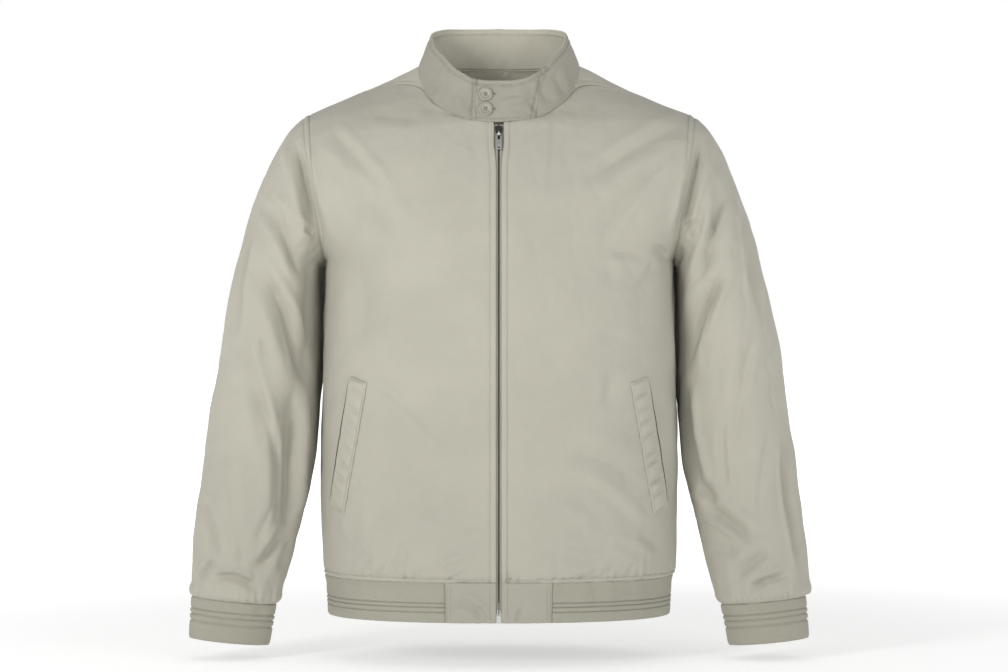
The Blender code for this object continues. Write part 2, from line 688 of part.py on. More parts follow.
def build_form():
    form = Form()
    front, back = body_grid("front"), body_grid("back")
    form.add("front_left", front)
    form.add("front_right", mirrored(front), flip=True)
    form.add("back", back, flip=True)
    form.add("back", mirrored(back))
    sleeve = tube_grid(SLEEVE, even_rings(SLEEVE, 13, SLEEVE_RINGS))
    form.add("sleeve_left", sleeve, closed=True)
    form.add("sleeve_right", mirrored(sleeve), closed=True, flip=True)
    cuff = tube_grid(CUFF, (0, 2))
    form.add("cuff_left", cuff, closed=True)
    form.add("cuff_right", mirrored(cuff), closed=True, flip=True)
    collar = collar_half()
    seam = FRONT_ARM_ROWS[1] // 2
    form.add("collar_stand", collar[:, seam:])
    form.add("collar_stand", mirrored(collar), flip=True)
    form.add("collar_tab", collar[:, : seam + 1])
    tab_front = band_grid("front", (HEM_Z, WAIST_Z))
    band_back = band_grid("back", (HEM_Z, WAIST_Z))
    form.add("waist_tab_left", tab_front[:, : TAB_COLUMNS + 1])
    form.add("waist_tab_right", mirrored(tab_front[:, : TAB_COLUMNS + 1]), flip=True)
    form.add("waistband_rib", tab_front[:, TAB_COLUMNS:])
    form.add("waistband_rib", mirrored(tab_front[:, TAB_COLUMNS:]), flip=True)
    form.add("waistband_rib", band_back, flip=True)
    form.add("waistband_rib", mirrored(band_back))
    form.fold()
    return form


def build_cloth(form):
    points, normals = np.array(form.points), form.normals()
    for name in ("front_left", "front_right", "back", "sleeve_left", "sleeve_right"):
        wall_from(name, points, normals, form.pieces[name], CLOTH, "cotton")
    for name in ("waist_tab_left", "waist_tab_right"):
        wall_from(name, points, normals, form.pieces[name], RIB_CLOTH, "cotton")
    wall_from("collar_stand", points, normals, form.pieces["collar_stand"], COLLAR_CLOTH, "cotton")
    return points, normals


def build_ribs(form, points, normals):
    for side in ("left", "right"):
        ids = form.grids[f"cuff_{side}"][0]
        if side == "right":
            ids = ids[:, ::-1]
        # Rows run up the cuff here, so that the faces look outwards.
        ids = ids[:, ::-1]
        depth = np.linalg.norm(points[ids[1, 0]] - points[ids[0, 0]])
        rib_wall(f"cuff_{side}", points[ids[1]], points[ids[0]], line_rows(CUFF_LINES, depth), True, normals[ids[0]])
    front_left, front_right, back_left, back_right = form.grids["waistband_rib"]
    # From the wearer's right tab round the back to the left tab.
    ring = np.concatenate(
        [front_right, back_right[:, ::-1][:, 1:], back_left[:, 1:], front_left[:, ::-1][:, 1:]], axis=1
    )[:, ::-1]
    cuts = line_rows(BAND_LINES, WAIST_Z - HEM_Z)
    rib_wall("waistband_rib", points[ring[0]], points[ring[1]], cuts, False, normals[ring[1]])


def build_collar_tab(form, points, normals):
    """The tab runs on from the collar's left part, then laps over its right end."""
    seam = FRONT_ARM_ROWS[1] // 2
    own = form.grids["collar_tab"][0][:, ::-1]
    under = form.grids["collar_stand"][1][:, : seam + 1]
    grid = np.concatenate([points[own], points[under]], axis=1)
    out = np.concatenate([normals[own], normals[under]], axis=1)
    last = own.shape[1] + seam - 1
    # The free end lies part of the way between two of the collar's columns.
    grid[:, last + 1] = grid[:, last] + TAB_END_SHARE * (grid[:, last + 1] - grid[:, last])
    out[:, last + 1] = out[:, last] + TAB_END_SHARE * (out[:, last + 1] - out[:, last])
    grid, out = grid[:, : last + 2], out[:, : last + 2]
    out /= np.linalg.norm(out, axis=2, keepdims=True)
    lift = np.full(grid.shape[1], COLLAR_CLOTH + LAY_GAP)
    own_columns = own.shape[1]
    lift[:own_columns] *= ramp(np.arange(own_columns) / own_columns, 0, 1)
    # The lapping part reaches down over the neck seam.
    fall = grid[0] - grid[1]
    fall /= np.linalg.norm(fall, axis=1, keepdims=True)
    grid[0, own_columns:] += fall[own_columns:] * TAB_FALL
    grid, out, lift = grid[:, ::-1], out[:, ::-1], lift[::-1]
    return sheet_wall("collar_tab", grid + out * lift[None, :, None], 0.0, COLLAR_CLOTH, "cotton", out)


def build_facing(form, points, normals):
    """The facing inside the back of the neck, from the back's own points moved in."""
    faces = []
    first_row = SIDE_ROWS + BACK_ARM_ROWS[0] - FACING_ROWS
    for ids, turned in zip(form.grids["back"], (True, False)):
        part = ids[first_row:-1, : FACING_COLUMNS + 1]
        for r in range(part.shape[0] - 1):
            for c in range(part.shape[1] - 1):
                face = [part[r, c], part[r, c + 1], part[r + 1, c + 1], part[r + 1, c]]
                faces.append(face[::-1] if turned else face)
    shift = -(CLOTH / 2 + LAY_GAP + FACING_CLOTH / 2)
    wall_from("back_facing", points, normals, faces, FACING_CLOTH, "cotton_inside", shift)


def shares_of(spot, corners):
    """The share of each corner of a triangle at a spot in it."""
    return np.linalg.lstsq(np.vstack([corners.T, np.ones(3)]), np.append(spot, 1), rcond=None)[0]


def build_welts(form, points, normals):
    """Pocket welts, laid on the fronts."""
    for side, sign in (("left", 1), ("right", -1)):
        faces = form.pieces[f"front_{side}"]
        halves = [half for a, b, c, d in faces for half in ((a, b, c), (a, c, d))]
        tree = BVHTree.FromPolygons([tuple(p) for p in points], halves)
        corners = [np.array(c) for c in (WELT_INNER_FOOT, WELT_OUTER_FOOT, WELT_OUTER_TOP, WELT_INNER_TOP)]
        grid, outs = [], []
        for row in range(WELT_STEPS[1] + 1):
            up = row / WELT_STEPS[1]
            line, line_outs = [], []
            for column in range(WELT_STEPS[0] + 1):
                across = column / WELT_STEPS[0]
                foot = corners[0] + (corners[1] - corners[0]) * across
                head = corners[3] + (corners[2] - corners[3]) * across
                x, z = foot + (head - foot) * up
                spot, _, half, _ = tree.ray_cast(Vector((sign * x, -1, z)), Vector((0, 1, 0)))
                corner_ids = list(halves[half])
                weights = shares_of(np.array(spot), points[corner_ids])
                line.append(np.array(spot))
                line_outs.append(weights @ normals[corner_ids])
            grid.append(line[::sign])
            outs.append(line_outs[::sign])
        offset = CLOTH / 2 + WELT_GAP + WELT_CLOTH / 2
        sheet_wall(f"pocket_welt_{side}", np.array(grid), offset, WELT_CLOTH, "cotton", np.array(outs))


def build_tapes(form, points, normals):
    """Zip tapes under the front edges, from the hem to the neck."""
    for side, sign in (("left", 1), ("right", -1)):
        band = form.grids[f"waist_tab_{side}"][0][:1, :2]
        front = form.grids[f"front_{side}"][0][: SIDE_ROWS + FRONT_ARM_ROWS[0] + 1, :2]
        ids = np.concatenate([band, front])
        edge, beside = points[ids[:, 0]].copy(), points[ids[:, 1]].copy()
        run = (beside - edge) / np.abs(beside[:, :1] - edge[:, :1])
        near = edge + run * (TAPE_INNER_X - FRONT_EDGE_X)
        far = edge + run * (TAPE_OUTER_X - FRONT_EDGE_X)
        grid = np.stack([near, far], axis=1)
        down = grid[-2] - grid[-1]
        grid[-1] += down / np.linalg.norm(down, axis=1, keepdims=True) * TAPE_TOP_DROP
        rise = grid[1] - grid[0]
        grid[0] += rise / np.linalg.norm(rise, axis=1, keepdims=True) * (BOX_SIZE[1] + LAY_GAP)
        if sign < 0:
            grid = grid[:, ::-1]
        sheet_wall(f"zip_tape_{side}", grid, -tape_depth(), TAPE_CLOTH, "tape")


def tape_depth():
    """From the middle of the front's cloth to the middle of the tape, past the thicker tabs."""
    return RIB_CLOTH / 2 + LAY_GAP + TAPE_CLOTH / 2


def front_edge_frame(points, form, height):
    """Place and axes on the front edge: across, up along the edge, and out of the cloth."""
    ids = form.grids["front_left"][0][:, 0]
    line = points[ids[: SIDE_ROWS + FRONT_ARM_ROWS[0] + 1]]
    i = int(np.searchsorted(line[:, 2], height)) - 1
    share = (height - line[i, 2]) / (line[i + 1, 2] - line[i, 2])
    place = line[i] + (line[i + 1] - line[i]) * share
    up = line[i + 1] - line[i]
    up[0] = 0
    up /= np.linalg.norm(up)
    out = np.cross((1, 0, 0), up)
    place[0] = 0
    return place, up, out


def frame_matrix(place, up, out):
    """Local x across, y along the zip upwards, z out of the cloth."""
    across = np.cross(up, out)
    rows = np.stack([across, up, out], axis=1)
    matrix = Matrix([list(row) + [0] for row in rows] + [[0, 0, 0, 1]])
    matrix.translation = Vector(place)
    return matrix


def box_mesh(size, centre):
    mesh = bmesh.new()
    bmesh.ops.create_cube(mesh, size=1.0)
    for vertex in mesh.verts:
        vertex.co = Vector([centre[i] + vertex.co[i] * size[i] for i in range(3)])
    return mesh


def to_object(mesh, name, finish, helper=False):
    data = bpy.data.meshes.new(name)
    bmesh.ops.recalc_face_normals(mesh, faces=mesh.faces)
    mesh.to_mesh(data)
    mesh.free()
    data.materials.append(MATERIALS[finish])
    obj = bpy.data.objects.new(name, data)
    bpy.context.scene.collection.objects.link(obj)
    if helper:
        obj.hide_render = True
        obj.display_type = "WIRE"
    return obj


def combine(obj, other, operation):
    modifier = obj.modifiers.new(operation.lower(), "BOOLEAN")
    modifier.operation = operation
    modifier.object = other


def arch_mesh(inner, thick, width):
    """A half ring that stands on the local xy plane and bridges along y."""
    mesh = bmesh.new()
    steps = 8
    rings = []
    for step in range(steps + 1):
        angle = math.pi * step / steps
        ring = []
        for x, radius in ((-1, inner), (1, inner), (1, inner + thick), (-1, inner + thick)):
            sink = -0.0004 if step in (0, steps) else 0.0
            ring.append(mesh.verts.new((x * width / 2, radius * math.cos(angle), radius * math.sin(angle) + sink)))
        rings.append(ring)
    for first, second in zip(rings, rings[1:]):
        for k in range(4):
            mesh.faces.new([first[k], first[(k + 1) % 4], second[(k + 1) % 4], second[k]])
    mesh.faces.new(rings[0][::-1])
    mesh.faces.new(rings[-1])
    return mesh


def build_zip_metal(points, form):
    place, up, out = front_edge_frame(points, form, SLIDER_Z)
    depth = tape_depth()
    plate_gap = TAPE_CLOTH / 2 + 0.0009
    width, length, thick = SLIDER_SIZE
    front_z = -depth + plate_gap + thick / 2
    back_z = -depth - plate_gap - thick / 2
    matrix = frame_matrix(place, up, out)

    slider = to_object(box_mesh((width, length, thick), (0, 0, front_z)), "zip_slider", "zip_metal")
    plate = to_object(box_mesh((width * 0.86, length, thick), (0, 0, back_z)), "slider_back_plate", "zip_metal", True)
    stem_size = (SLIDER_STEM[0], SLIDER_STEM[1], front_z - back_z)
    stem_y = length / 2 - SLIDER_STEM[1] / 2
    stem = to_object(box_mesh(stem_size, (0, stem_y, (front_z + back_z) / 2)), "slider_stem", "zip_metal", True)
    bail = to_object(arch_mesh(BAIL_INNER_RADIUS, BAIL_THICK, BAIL_WIDTH), "slider_bail", "zip_metal", True)
    top_z = front_z + thick / 2
    bail_y = -0.0035
    bail.data.transform(Matrix.Translation((0, bail_y, top_z)))
    for helper in (plate, stem, bail):
        helper.matrix_world = matrix
        combine(slider, helper, "UNION")
    slider.matrix_world = matrix

    # The pull's bar passes under the bail, and its arms stand beside it.
    hinge_z = top_z + PULL_BAR_RADIUS + 0.0003
    hinge = matrix @ Vector((0, bail_y, hinge_z))
    holder = bpy.data.objects.new("pull_hinge", None)
    bpy.context.scene.collection.objects.link(holder)
    holder.matrix_world = Matrix.Translation(hinge) @ matrix.to_3x3().to_4x4()

    bar = bmesh.new()
    bmesh.ops.create_cone(
        bar, cap_ends=True, segments=12, radius1=PULL_BAR_RADIUS, radius2=PULL_BAR_RADIUS, depth=2 * PULL_ARM_X[1] - 0.0004
    )
    bmesh.ops.rotate(bar, verts=bar.verts, matrix=Matrix.Rotation(math.pi / 2, 3, "Y"))
    pull = to_object(bar, "zip_pull", "zip_metal")
    plate_width, plate_top, plate_foot = PULL_PLATE
    plate_size = (plate_width, plate_foot - plate_top, PULL_THICK)
    shapes = [(plate_size, (0, -(plate_top + plate_foot) / 2, 0))]
    arm_width = PULL_ARM_X[1] - PULL_ARM_X[0]
    for sign in (-1, 1):
        middle = sign * (PULL_ARM_X[0] + PULL_ARM_X[1]) / 2
        shapes.append(((arm_width, plate_top + 0.0010, PULL_THICK), (middle, -(plate_top + 0.0010) / 2, 0)))
    for number, (size, centre) in enumerate(shapes):
        shape = to_object(box_mesh(size, centre), f"pull_part_{number}", "zip_metal", True)
        shape.parent = holder
        combine(pull, shape, "UNION")
    hole_size = (PULL_HOLE[0], PULL_HOLE[1], 4 * PULL_THICK)
    hole = to_object(box_mesh(hole_size, (0, -PULL_HOLE[2], 0)), "pull_hole", "zip_metal", True)
    hole.parent = holder
    combine(pull, hole, "DIFFERENCE")
    pull.parent = holder

    # The box and pin at the foot of the zip.
    ids = form.grids["waist_tab_left"][0][:, 0]
    low, high = points[ids[0]], points[ids[1]]
    rise = (high - low) / np.linalg.norm(high - low)
    outwards = np.cross((1, 0, 0), rise)
    middle = low + rise * (BOX_SIZE[1] / 2) - outwards * depth
    middle[0] = 0
    foot = to_object(box_mesh(BOX_SIZE, (0, 0, 0)), "zip_box", "zip_metal")
    foot.matrix_world = frame_matrix(middle, rise, outwards)
    return hinge


def build_buttons(tab):
    tree = BVHTree.FromPolygons([v.co for v in tab.data.vertices], [list(p.vertices) for p in tab.data.polygons])
    for name, (x, z) in BUTTON_SPOTS.items():
        spot, normal, _, _ = tree.ray_cast(Vector((x, -1, z)), Vector((0, 1, 0)))
        mesh = bmesh.new()
        line = [mesh.verts.new((radius, 0, height)) for radius, height in BUTTON_PROFILE]
        edges = [mesh.edges.new(pair) for pair in zip(line, line[1:])]
        bmesh.ops.spin(
            mesh, geom=line + edges, cent=(0, 0, 0), axis=(0, 0, 1), angle=2 * math.pi, steps=BUTTON_SIDES,
            use_merge=True,
        )
        bmesh.ops.remove_doubles(mesh, verts=mesh.verts, dist=1e-6)
        button = to_object(mesh, name, "button")
        button.data.shade_smooth()
        button.data.set_sharp_from_angle(angle=math.radians(40))
        turn = Vector((0, 0, 1)).rotation_difference(normal)
        button.matrix_world = Matrix.Translation(spot + normal * LAY_GAP) @ turn.to_matrix().to_4x4()


for old in list(bpy.data.objects):
    bpy.data.objects.remove(old)
MATERIALS = {name: make_material(name, *finish) for name, finish in FINISHES.items()}

jacket = build_form()
spots, outs = build_cloth(jacket)
build_ribs(jacket, spots, outs)
collar_tab = build_collar_tab(jacket, spots, outs)
build_facing(jacket, spots, outs)
build_welts(jacket, spots, outs)
build_tapes(jacket, spots, outs)
pull_hinge = build_zip_metal(spots, jacket)
build_buttons(collar_tab)
print("pull hinge", [round(value, 5) for value in pull_hinge])
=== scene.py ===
# Bomber jacket: the visible cloth, ribs, zip and buttons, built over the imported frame.
import math

import bmesh
import bpy
import numpy as np
from mathutils import Matrix, Vector
from mathutils.bvhtree import BVHTree


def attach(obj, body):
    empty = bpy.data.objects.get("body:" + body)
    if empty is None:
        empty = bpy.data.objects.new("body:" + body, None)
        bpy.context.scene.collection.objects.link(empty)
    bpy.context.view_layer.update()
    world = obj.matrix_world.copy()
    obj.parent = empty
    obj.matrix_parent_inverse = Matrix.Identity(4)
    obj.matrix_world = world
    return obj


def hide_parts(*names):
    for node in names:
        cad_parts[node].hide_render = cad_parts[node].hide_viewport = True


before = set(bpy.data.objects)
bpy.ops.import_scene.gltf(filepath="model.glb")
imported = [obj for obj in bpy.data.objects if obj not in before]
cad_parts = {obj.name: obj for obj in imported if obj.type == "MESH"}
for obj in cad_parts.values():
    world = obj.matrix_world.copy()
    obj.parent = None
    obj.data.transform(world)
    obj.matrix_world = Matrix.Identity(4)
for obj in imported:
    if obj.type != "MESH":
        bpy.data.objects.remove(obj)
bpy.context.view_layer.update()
print("frame loaded")

# The jacket's form, in metres. Front -Y, wearer's left +X, the side neck points near z 0.
jacketForm = {
    "waistZ": -0.602,
    "hemZ": -0.648,
    "underarmZ": -0.228,
    "frontEdgeX": 0.0030,
    "spreadEdgeX": 0.0056,
    "spreadFromZ": -0.125,
    "spreadToZ": -0.090,
    "tabEndX": 0.063,
    "fullness": 0.62,
    "armBlend": (0.10, 0.62),
    "neckClimb": {"front": 0.66, "back": 0.70},
    "neckHalfWidth": 0.0945,
    "neckDepths": (-0.0855, 0.0685),
    "collarHalfWidth": 0.0802,
    "collarDepths": (-0.0800, 0.0665),
    "tabSeamTurn": 28.0,
    "shoulderSeamTurn": 63.0,
    "shoulderSeamBack": 10.0,
    "collarSlant": 10.0,
    "step": 0.0034,
    "fineStep": 0.0011,
    "fineWidth": 0.0105,
}
bodyTable = (
    ("height", "halfWidth", "front", "back"),
    (-0.602, 0.2065, -0.1310, 0.1130),
    (-0.590, 0.2098, -0.1375, 0.1185),
    (-0.563, 0.2118, -0.1410, 0.1210),
    (-0.500, 0.2136, -0.1415, 0.1190),
    (-0.454, 0.2130, -0.1410, 0.1150),
    (-0.380, 0.2112, -0.1395, 0.1120),
    (-0.322, 0.2098, -0.1395, 0.1140),
    (-0.265, 0.2082, -0.1400, 0.1180),
    (-0.228, 0.2076, -0.1390, 0.1210),
)
bandTable = (
    ("height", "halfWidth", "front", "back"),
    (-0.602, 0.2065, -0.1310, 0.1130),
    (-0.610, 0.2046, -0.1300, 0.1115),
    (-0.630, 0.2040, -0.1295, 0.1110),
    (-0.648, 0.2032, -0.1285, 0.1100),
)
centreTables = {
    "front": (
        ("climb", "y", "z"),
        (0.00, -0.1390, -0.2280),
        (0.20, -0.1375, -0.2030),
        (0.40, -0.1240, -0.1500),
        (0.54, -0.1060, -0.1060),
        (0.66, -0.0855, -0.0656),
    ),
    "back": (
        ("climb", "y", "z"),
        (0.00, 0.1210, -0.2280),
        (0.20, 0.1225, -0.1960),
        (0.40, 0.1190, -0.1340),
        (0.56, 0.1000, -0.0560),
        (0.70, 0.0685, 0.0098),
    ),
}
cornerTables = {
    "front": (
        ("climb", "x", "y", "z"),
        (0.00, 0.2076, -0.1390, -0.2280),
        (0.20, 0.1900, -0.1375, -0.2060),
        (0.40, 0.1640, -0.1260, -0.1580),
        (0.66, 0.1500, -0.0930, -0.0810),
        (0.83, 0.1330, -0.0480, -0.0300),
        (1.00, 0.1120, 0.0200, 0.0120),
    ),
    "back": (
        ("climb", "x", "y", "z"),
        (0.00, 0.2076, 0.1210, -0.2280),
        (0.20, 0.1900, 0.1225, -0.2010),
        (0.40, 0.1680, 0.1220, -0.1500),
        (0.70, 0.1500, 0.0860, -0.0420),
        (0.85, 0.1230, 0.0480, -0.0070),
        (1.00, 0.1120, 0.0200, 0.0120),
    ),
}
neckTable = (
    ("turn", "z"),
    (0, -0.0656), (24, -0.0630), (46, -0.0475), (63, -0.0305),
    (78, -0.0100), (90, 0.0040), (105, 0.0085), (125, 0.0095), (180, 0.0098),
)
collarTable = (
    ("turn", "z"),
    (0, -0.0189), (11, -0.0183), (21, -0.0158), (31, -0.0087), (43, 0.0010),
    (54, 0.0130), (69, 0.0262), (80, 0.0368), (90, 0.0425), (110, 0.0500), (135, 0.0560), (180, 0.0590),
)
sleeveTable = (
    ("ring", "outerX", "outerZ", "innerX", "innerZ", "middleY", "halfDepth"),
    (0, 0.2328, -0.0552, 0.2076, -0.2280, 0.000, 0.082),
    (1, 0.2490, -0.0690, 0.2128, -0.2345, 0.002, 0.085),
    (2, 0.2712, -0.1056, 0.2146, -0.2430, 0.003, 0.086),
    (3, 0.2934, -0.1596, 0.2152, -0.2616, 0.004, 0.084),
    (4, 0.3096, -0.2136, 0.2155, -0.2880, 0.004, 0.081),
    (5, 0.3228, -0.2676, 0.2156, -0.3216, 0.003, 0.077),
    (6, 0.3336, -0.3216, 0.2160, -0.3600, 0.000, 0.072),
    (7, 0.3414, -0.3756, 0.2168, -0.4032, -0.004, 0.067),
    (8, 0.3480, -0.4296, 0.2182, -0.4488, -0.009, 0.062),
    (9, 0.3552, -0.4836, 0.2250, -0.4968, -0.015, 0.057),
    (10, 0.3612, -0.5376, 0.2376, -0.5448, -0.021, 0.052),
    (11, 0.3654, -0.5820, 0.2490, -0.5880, -0.026, 0.047),
    (12, 0.3668, -0.6096, 0.2570, -0.6160, -0.029, 0.040),
    (13, 0.3638, -0.6258, 0.2656, -0.6354, -0.030, 0.031),
)
cuffTable = (
    ("ring", "outerX", "outerZ", "innerX", "innerZ", "middleY", "halfDepth"),
    (0, 0.3638, -0.6258, 0.2656, -0.6354, -0.030, 0.031),
    (1, 0.3646, -0.6340, 0.2672, -0.6440, -0.030, 0.029),
    (2, 0.3668, -0.6744, 0.2742, -0.6834, -0.031, 0.028),
)


def columnsOf(table):
    return {name: [row[i] for row in table[1:]] for i, name in enumerate(table[0])}


def smoothCurve(xs, ys):
    # smooth through the points, with no overshoot
    order = np.argsort(xs)
    xs, ys = np.asarray(xs, float)[order], np.asarray(ys, float)[order]
    step = np.diff(xs)
    slope = np.diff(ys) / step
    tangent = np.zeros(len(xs))
    tangent[0], tangent[-1] = slope[0], slope[-1]
    for i in range(1, len(xs) - 1):
        if slope[i - 1] * slope[i] > 0:
            before, after = 2 * step[i] + step[i - 1], step[i] + 2 * step[i - 1]
            tangent[i] = (before + after) / (before / slope[i - 1] + after / slope[i])

    def value(x):
        x = np.asarray(x, float)
        i = np.clip(np.searchsorted(xs, x) - 1, 0, len(step) - 1)
        t = (x - xs[i]) / step[i]
        return (
            (1 + 2 * t) * (1 - t) ** 2 * ys[i]
            + t * (1 - t) ** 2 * step[i] * tangent[i]
            + t * t * (3 - 2 * t) * ys[i + 1]
            + t * t * (t - 1) * step[i] * tangent[i + 1]
        )

    return value


def curvesOf(table):
    columns = columnsOf(table)
    key = table[0][0]
    return {name: smoothCurve(columns[key], values) for name, values in columns.items() if name != key}


def softStep(value, low, high):
    t = np.clip((value - low) / (high - low), 0, 1)
    return t * t * (3 - 2 * t)


def hump(off, width):
    # 1 where off is 0, and a soft slope to 0 on both sides
    return np.exp(-((off / width) ** 2))


def unit(vectors):
    return vectors / np.maximum(np.linalg.norm(vectors, axis=-1, keepdims=True), 1e-12)


bodyCurves, bandCurves = curvesOf(bodyTable), curvesOf(bandTable)
centreCurves = {face: curvesOf(table) for face, table in centreTables.items()}
cornerCurves = {face: curvesOf(table) for face, table in cornerTables.items()}
neckCurve, collarCurve = curvesOf(neckTable)["z"], curvesOf(collarTable)["z"]
sleeveCurves, cuffCurves = curvesOf(sleeveTable), curvesOf(cuffTable)


def ringPoints(curves, ring, angles):
    # 0 is the ring's outer point, 90 its front and 180 its inner point
    turn = np.radians(np.asarray(angles, float))[:, None]
    outer = np.array((float(curves["outerX"](ring)), 0, float(curves["outerZ"](ring))))
    inner = np.array((float(curves["innerX"](ring)), 0, float(curves["innerZ"](ring))))
    middle = (outer + inner) / 2 + np.array((0, float(curves["middleY"](ring)), 0))
    depth = -float(curves["halfDepth"](ring)) * np.sin(turn)
    return middle + (outer - inner) / 2 * np.cos(turn) + depth * np.array((0, 1, 0))


def loopPoints(halfWidth, depths, height, turns):
    turns = np.asarray(turns, float)
    angle = np.radians(turns)
    y = (depths[0] + depths[1]) / 2 + (depths[0] - depths[1]) / 2 * np.cos(angle)
    return np.stack([halfWidth * np.sin(angle), y, height(np.abs(turns))], axis=-1)


def neckPoints(turns):
    return loopPoints(jacketForm["neckHalfWidth"], jacketForm["neckDepths"], neckCurve, turns)


def collarTops(turns):
    turns = np.asarray(turns, float)
    size = np.abs(turns)
    slant = jacketForm["collarSlant"] * hump(size - jacketForm["tabSeamTurn"], 22)
    slant = slant * np.minimum(1, size / 12) * np.sign(turns)
    return loopPoints(jacketForm["collarHalfWidth"], jacketForm["collarDepths"], collarCurve, turns + slant)


firstTurn = math.degrees(math.asin(jacketForm["spreadEdgeX"] / jacketForm["neckHalfWidth"]))


def neckTurn(face, share):
    seam, tab = jacketForm["shoulderSeamTurn"], jacketForm["tabSeamTurn"]
    if face == "back":
        return 180 + (seam - 180) * share
    if share < 0.5:
        return firstTurn + (tab - firstTurn) * share / 0.5
    return tab + (seam - tab) * (share - 0.5) / 0.5


def bezierRow(start, corner, end, shares):
    full = jacketForm["fullness"]
    leave, meet = start + full * (corner - start), end + full * (corner - end)
    t = np.asarray(shares, float)[..., None]
    r = 1 - t
    return r**3 * start + 3 * r**2 * t * leave + 3 * r * t**2 * meet + t**3 * end


def edgeX(face, height):
    if face == "back":
        return 0.0
    spread = softStep(height, jacketForm["spreadFromZ"], jacketForm["spreadToZ"])
    return jacketForm["frontEdgeX"] + (jacketForm["spreadEdgeX"] - jacketForm["frontEdgeX"]) * float(spread)


def levelRow(curves, face, height, shares):
    depth, halfWidth = float(curves[face](height)), float(curves["halfWidth"](height))
    start = np.array((edgeX(face, height), depth, height))
    corner, end = np.array((halfWidth, depth, height)), np.array((halfWidth, 0, height))
    return bezierRow(start, corner, end, shares)


def armAngle(face, climb):
    back = jacketForm["shoulderSeamBack"]
    return 180 - (180 + back) * climb if face == "front" else 180 + (180 - back) * climb


def halved(before):
    # the share from 0 to 1 where before() stops being true
    low, high = 0.0, 1.0
    for _ in range(40):
        middle = (low + high) / 2
        if before(middle):
            low = middle
        else:
            high = middle
    return low


def chestRow(face, climb, shares):
    neck = jacketForm["neckClimb"][face]
    if climb <= neck:
        height = float(centreCurves[face]["z"](climb))
        start = np.array((edgeX(face, height), float(centreCurves[face]["y"](climb)), height))
    else:
        start = neckPoints([neckTurn(face, (climb - neck) / (1 - neck))])[0]
    corner = np.array([float(cornerCurves[face][axis](climb)) for axis in "xyz"])
    end = ringPoints(sleeveCurves, 0, [armAngle(face, climb)])[0]
    own = bezierRow(start, corner, end, shares)
    weight = float(softStep(climb, *jacketForm["armBlend"]))
    if weight == 1:
        return own
    # the low rows are parts of whole sections, cut off at the armhole
    whole = (start, np.array((end[0], start[1], start[2])), np.array((end[0], 0, start[2])))
    low = halved(lambda share: abs(bezierRow(*whole, share)[1]) > abs(end[1]))
    shares = np.asarray(shares, float)
    part = bezierRow(*whole, low * shares) + (end - bezierRow(*whole, low)) * shares[:, None] ** 3
    return part + (own - part) * weight


def gradedShares(length, fineStart=True, fineEnd=True):
    # steps along a length: fine beside a seam, coarser in the middle
    step, fine, width = jacketForm["step"], jacketForm["fineStep"], jacketForm["fineWidth"]
    places = [0.0]
    while places[-1] < length:
        near = min(places[-1] if fineStart else length, (length - places[-1]) if fineEnd else length)
        places.append(places[-1] + fine + (step - fine) * float(softStep(near, width * 0.8, width * 2.2)))
    places = np.array(places)
    return places / places[-1]


def bodyRows(face):
    # heights from the waist seam to the underarm, then climbs to the shoulder seam
    waist, under = jacketForm["waistZ"], jacketForm["underarmZ"]
    heights = waist + (under - waist) * gradedShares(under - waist, True, False)
    neck = jacketForm["neckClimb"][face]
    low = np.linspace(0, neck, 54)[1:]
    high = neck + (1 - neck) * gradedShares(0.115, False, True)[1:]
    return heights, np.concatenate([low, high])


bodyShares = gradedShares(0.300)
bodyGrids = {}
for face in ("front", "back"):
    heights, climbs = bodyRows(face)
    rows = [levelRow(bodyCurves, face, z, bodyShares) for z in heights]
    bodyGrids[face] = np.array(rows + [chestRow(face, climb, bodyShares) for climb in climbs])
print("body form", bodyGrids["front"].shape, bodyGrids["back"].shape)


def gridNormals(grid, closed=False):
    down = np.gradient(grid, axis=0)
    if closed:
        across = (np.roll(grid, -1, axis=1) - np.roll(grid, 1, axis=1)) / 2
    else:
        across = np.gradient(grid, axis=1)
    return unit(np.cross(across, down))


def lengthsAlong(line):
    return np.concatenate([[0], np.cumsum(np.linalg.norm(np.diff(line, axis=0), axis=1))])


def evenLine(line, step):
    run = lengthsAlong(line)
    count = max(int(run[-1] / step), 2)
    places = np.linspace(0, run[-1], count + 1)
    return np.stack([np.interp(places, run, line[:, k]) for k in range(3)], axis=1)


def seamReach(points, line):
    # distance of each point to a seam line, and how far along the seam it lies
    fine = evenLine(line, 0.0015)
    run = lengthsAlong(fine)
    flat = points.reshape(-1, 3)
    distance, along = np.empty(len(flat)), np.empty(len(flat))
    for start in range(0, len(flat), 4000):
        part = flat[start : start + 4000]
        gaps = np.linalg.norm(part[:, None, :] - fine[None, :, :], axis=2)
        nearest = gaps.argmin(axis=1)
        distance[start : start + 4000] = gaps[np.arange(len(part)), nearest]
        along[start : start + 4000] = run[nearest]
    return distance.reshape(points.shape[:2]), along.reshape(points.shape[:2])


def waver(along, pitch, seed, sharp=0.0):
    # an uneven wave along a seam, -1 to 1
    chance = np.random.default_rng(seed)
    total = np.zeros_like(along)
    for _ in range(7):
        total += np.cos(along * 2 * math.pi / (pitch * chance.uniform(0.72, 1.5)) + chance.uniform(0, 6.28))
    total /= 2.6
    return np.sign(total) * np.abs(total) ** (1 - sharp) if sharp else total


def drift(points, size, seed):
    # slow unevenness through space
    chance = np.random.default_rng(seed)
    total = np.zeros(points.shape[:-1])
    for _ in range(9):
        direction = chance.normal(size=3)
        direction /= np.linalg.norm(direction)
        pitch = size * chance.uniform(0.7, 1.7)
        total += np.cos(points @ direction * 2 * math.pi / pitch + chance.uniform(0, 6.28))
    return total / 3


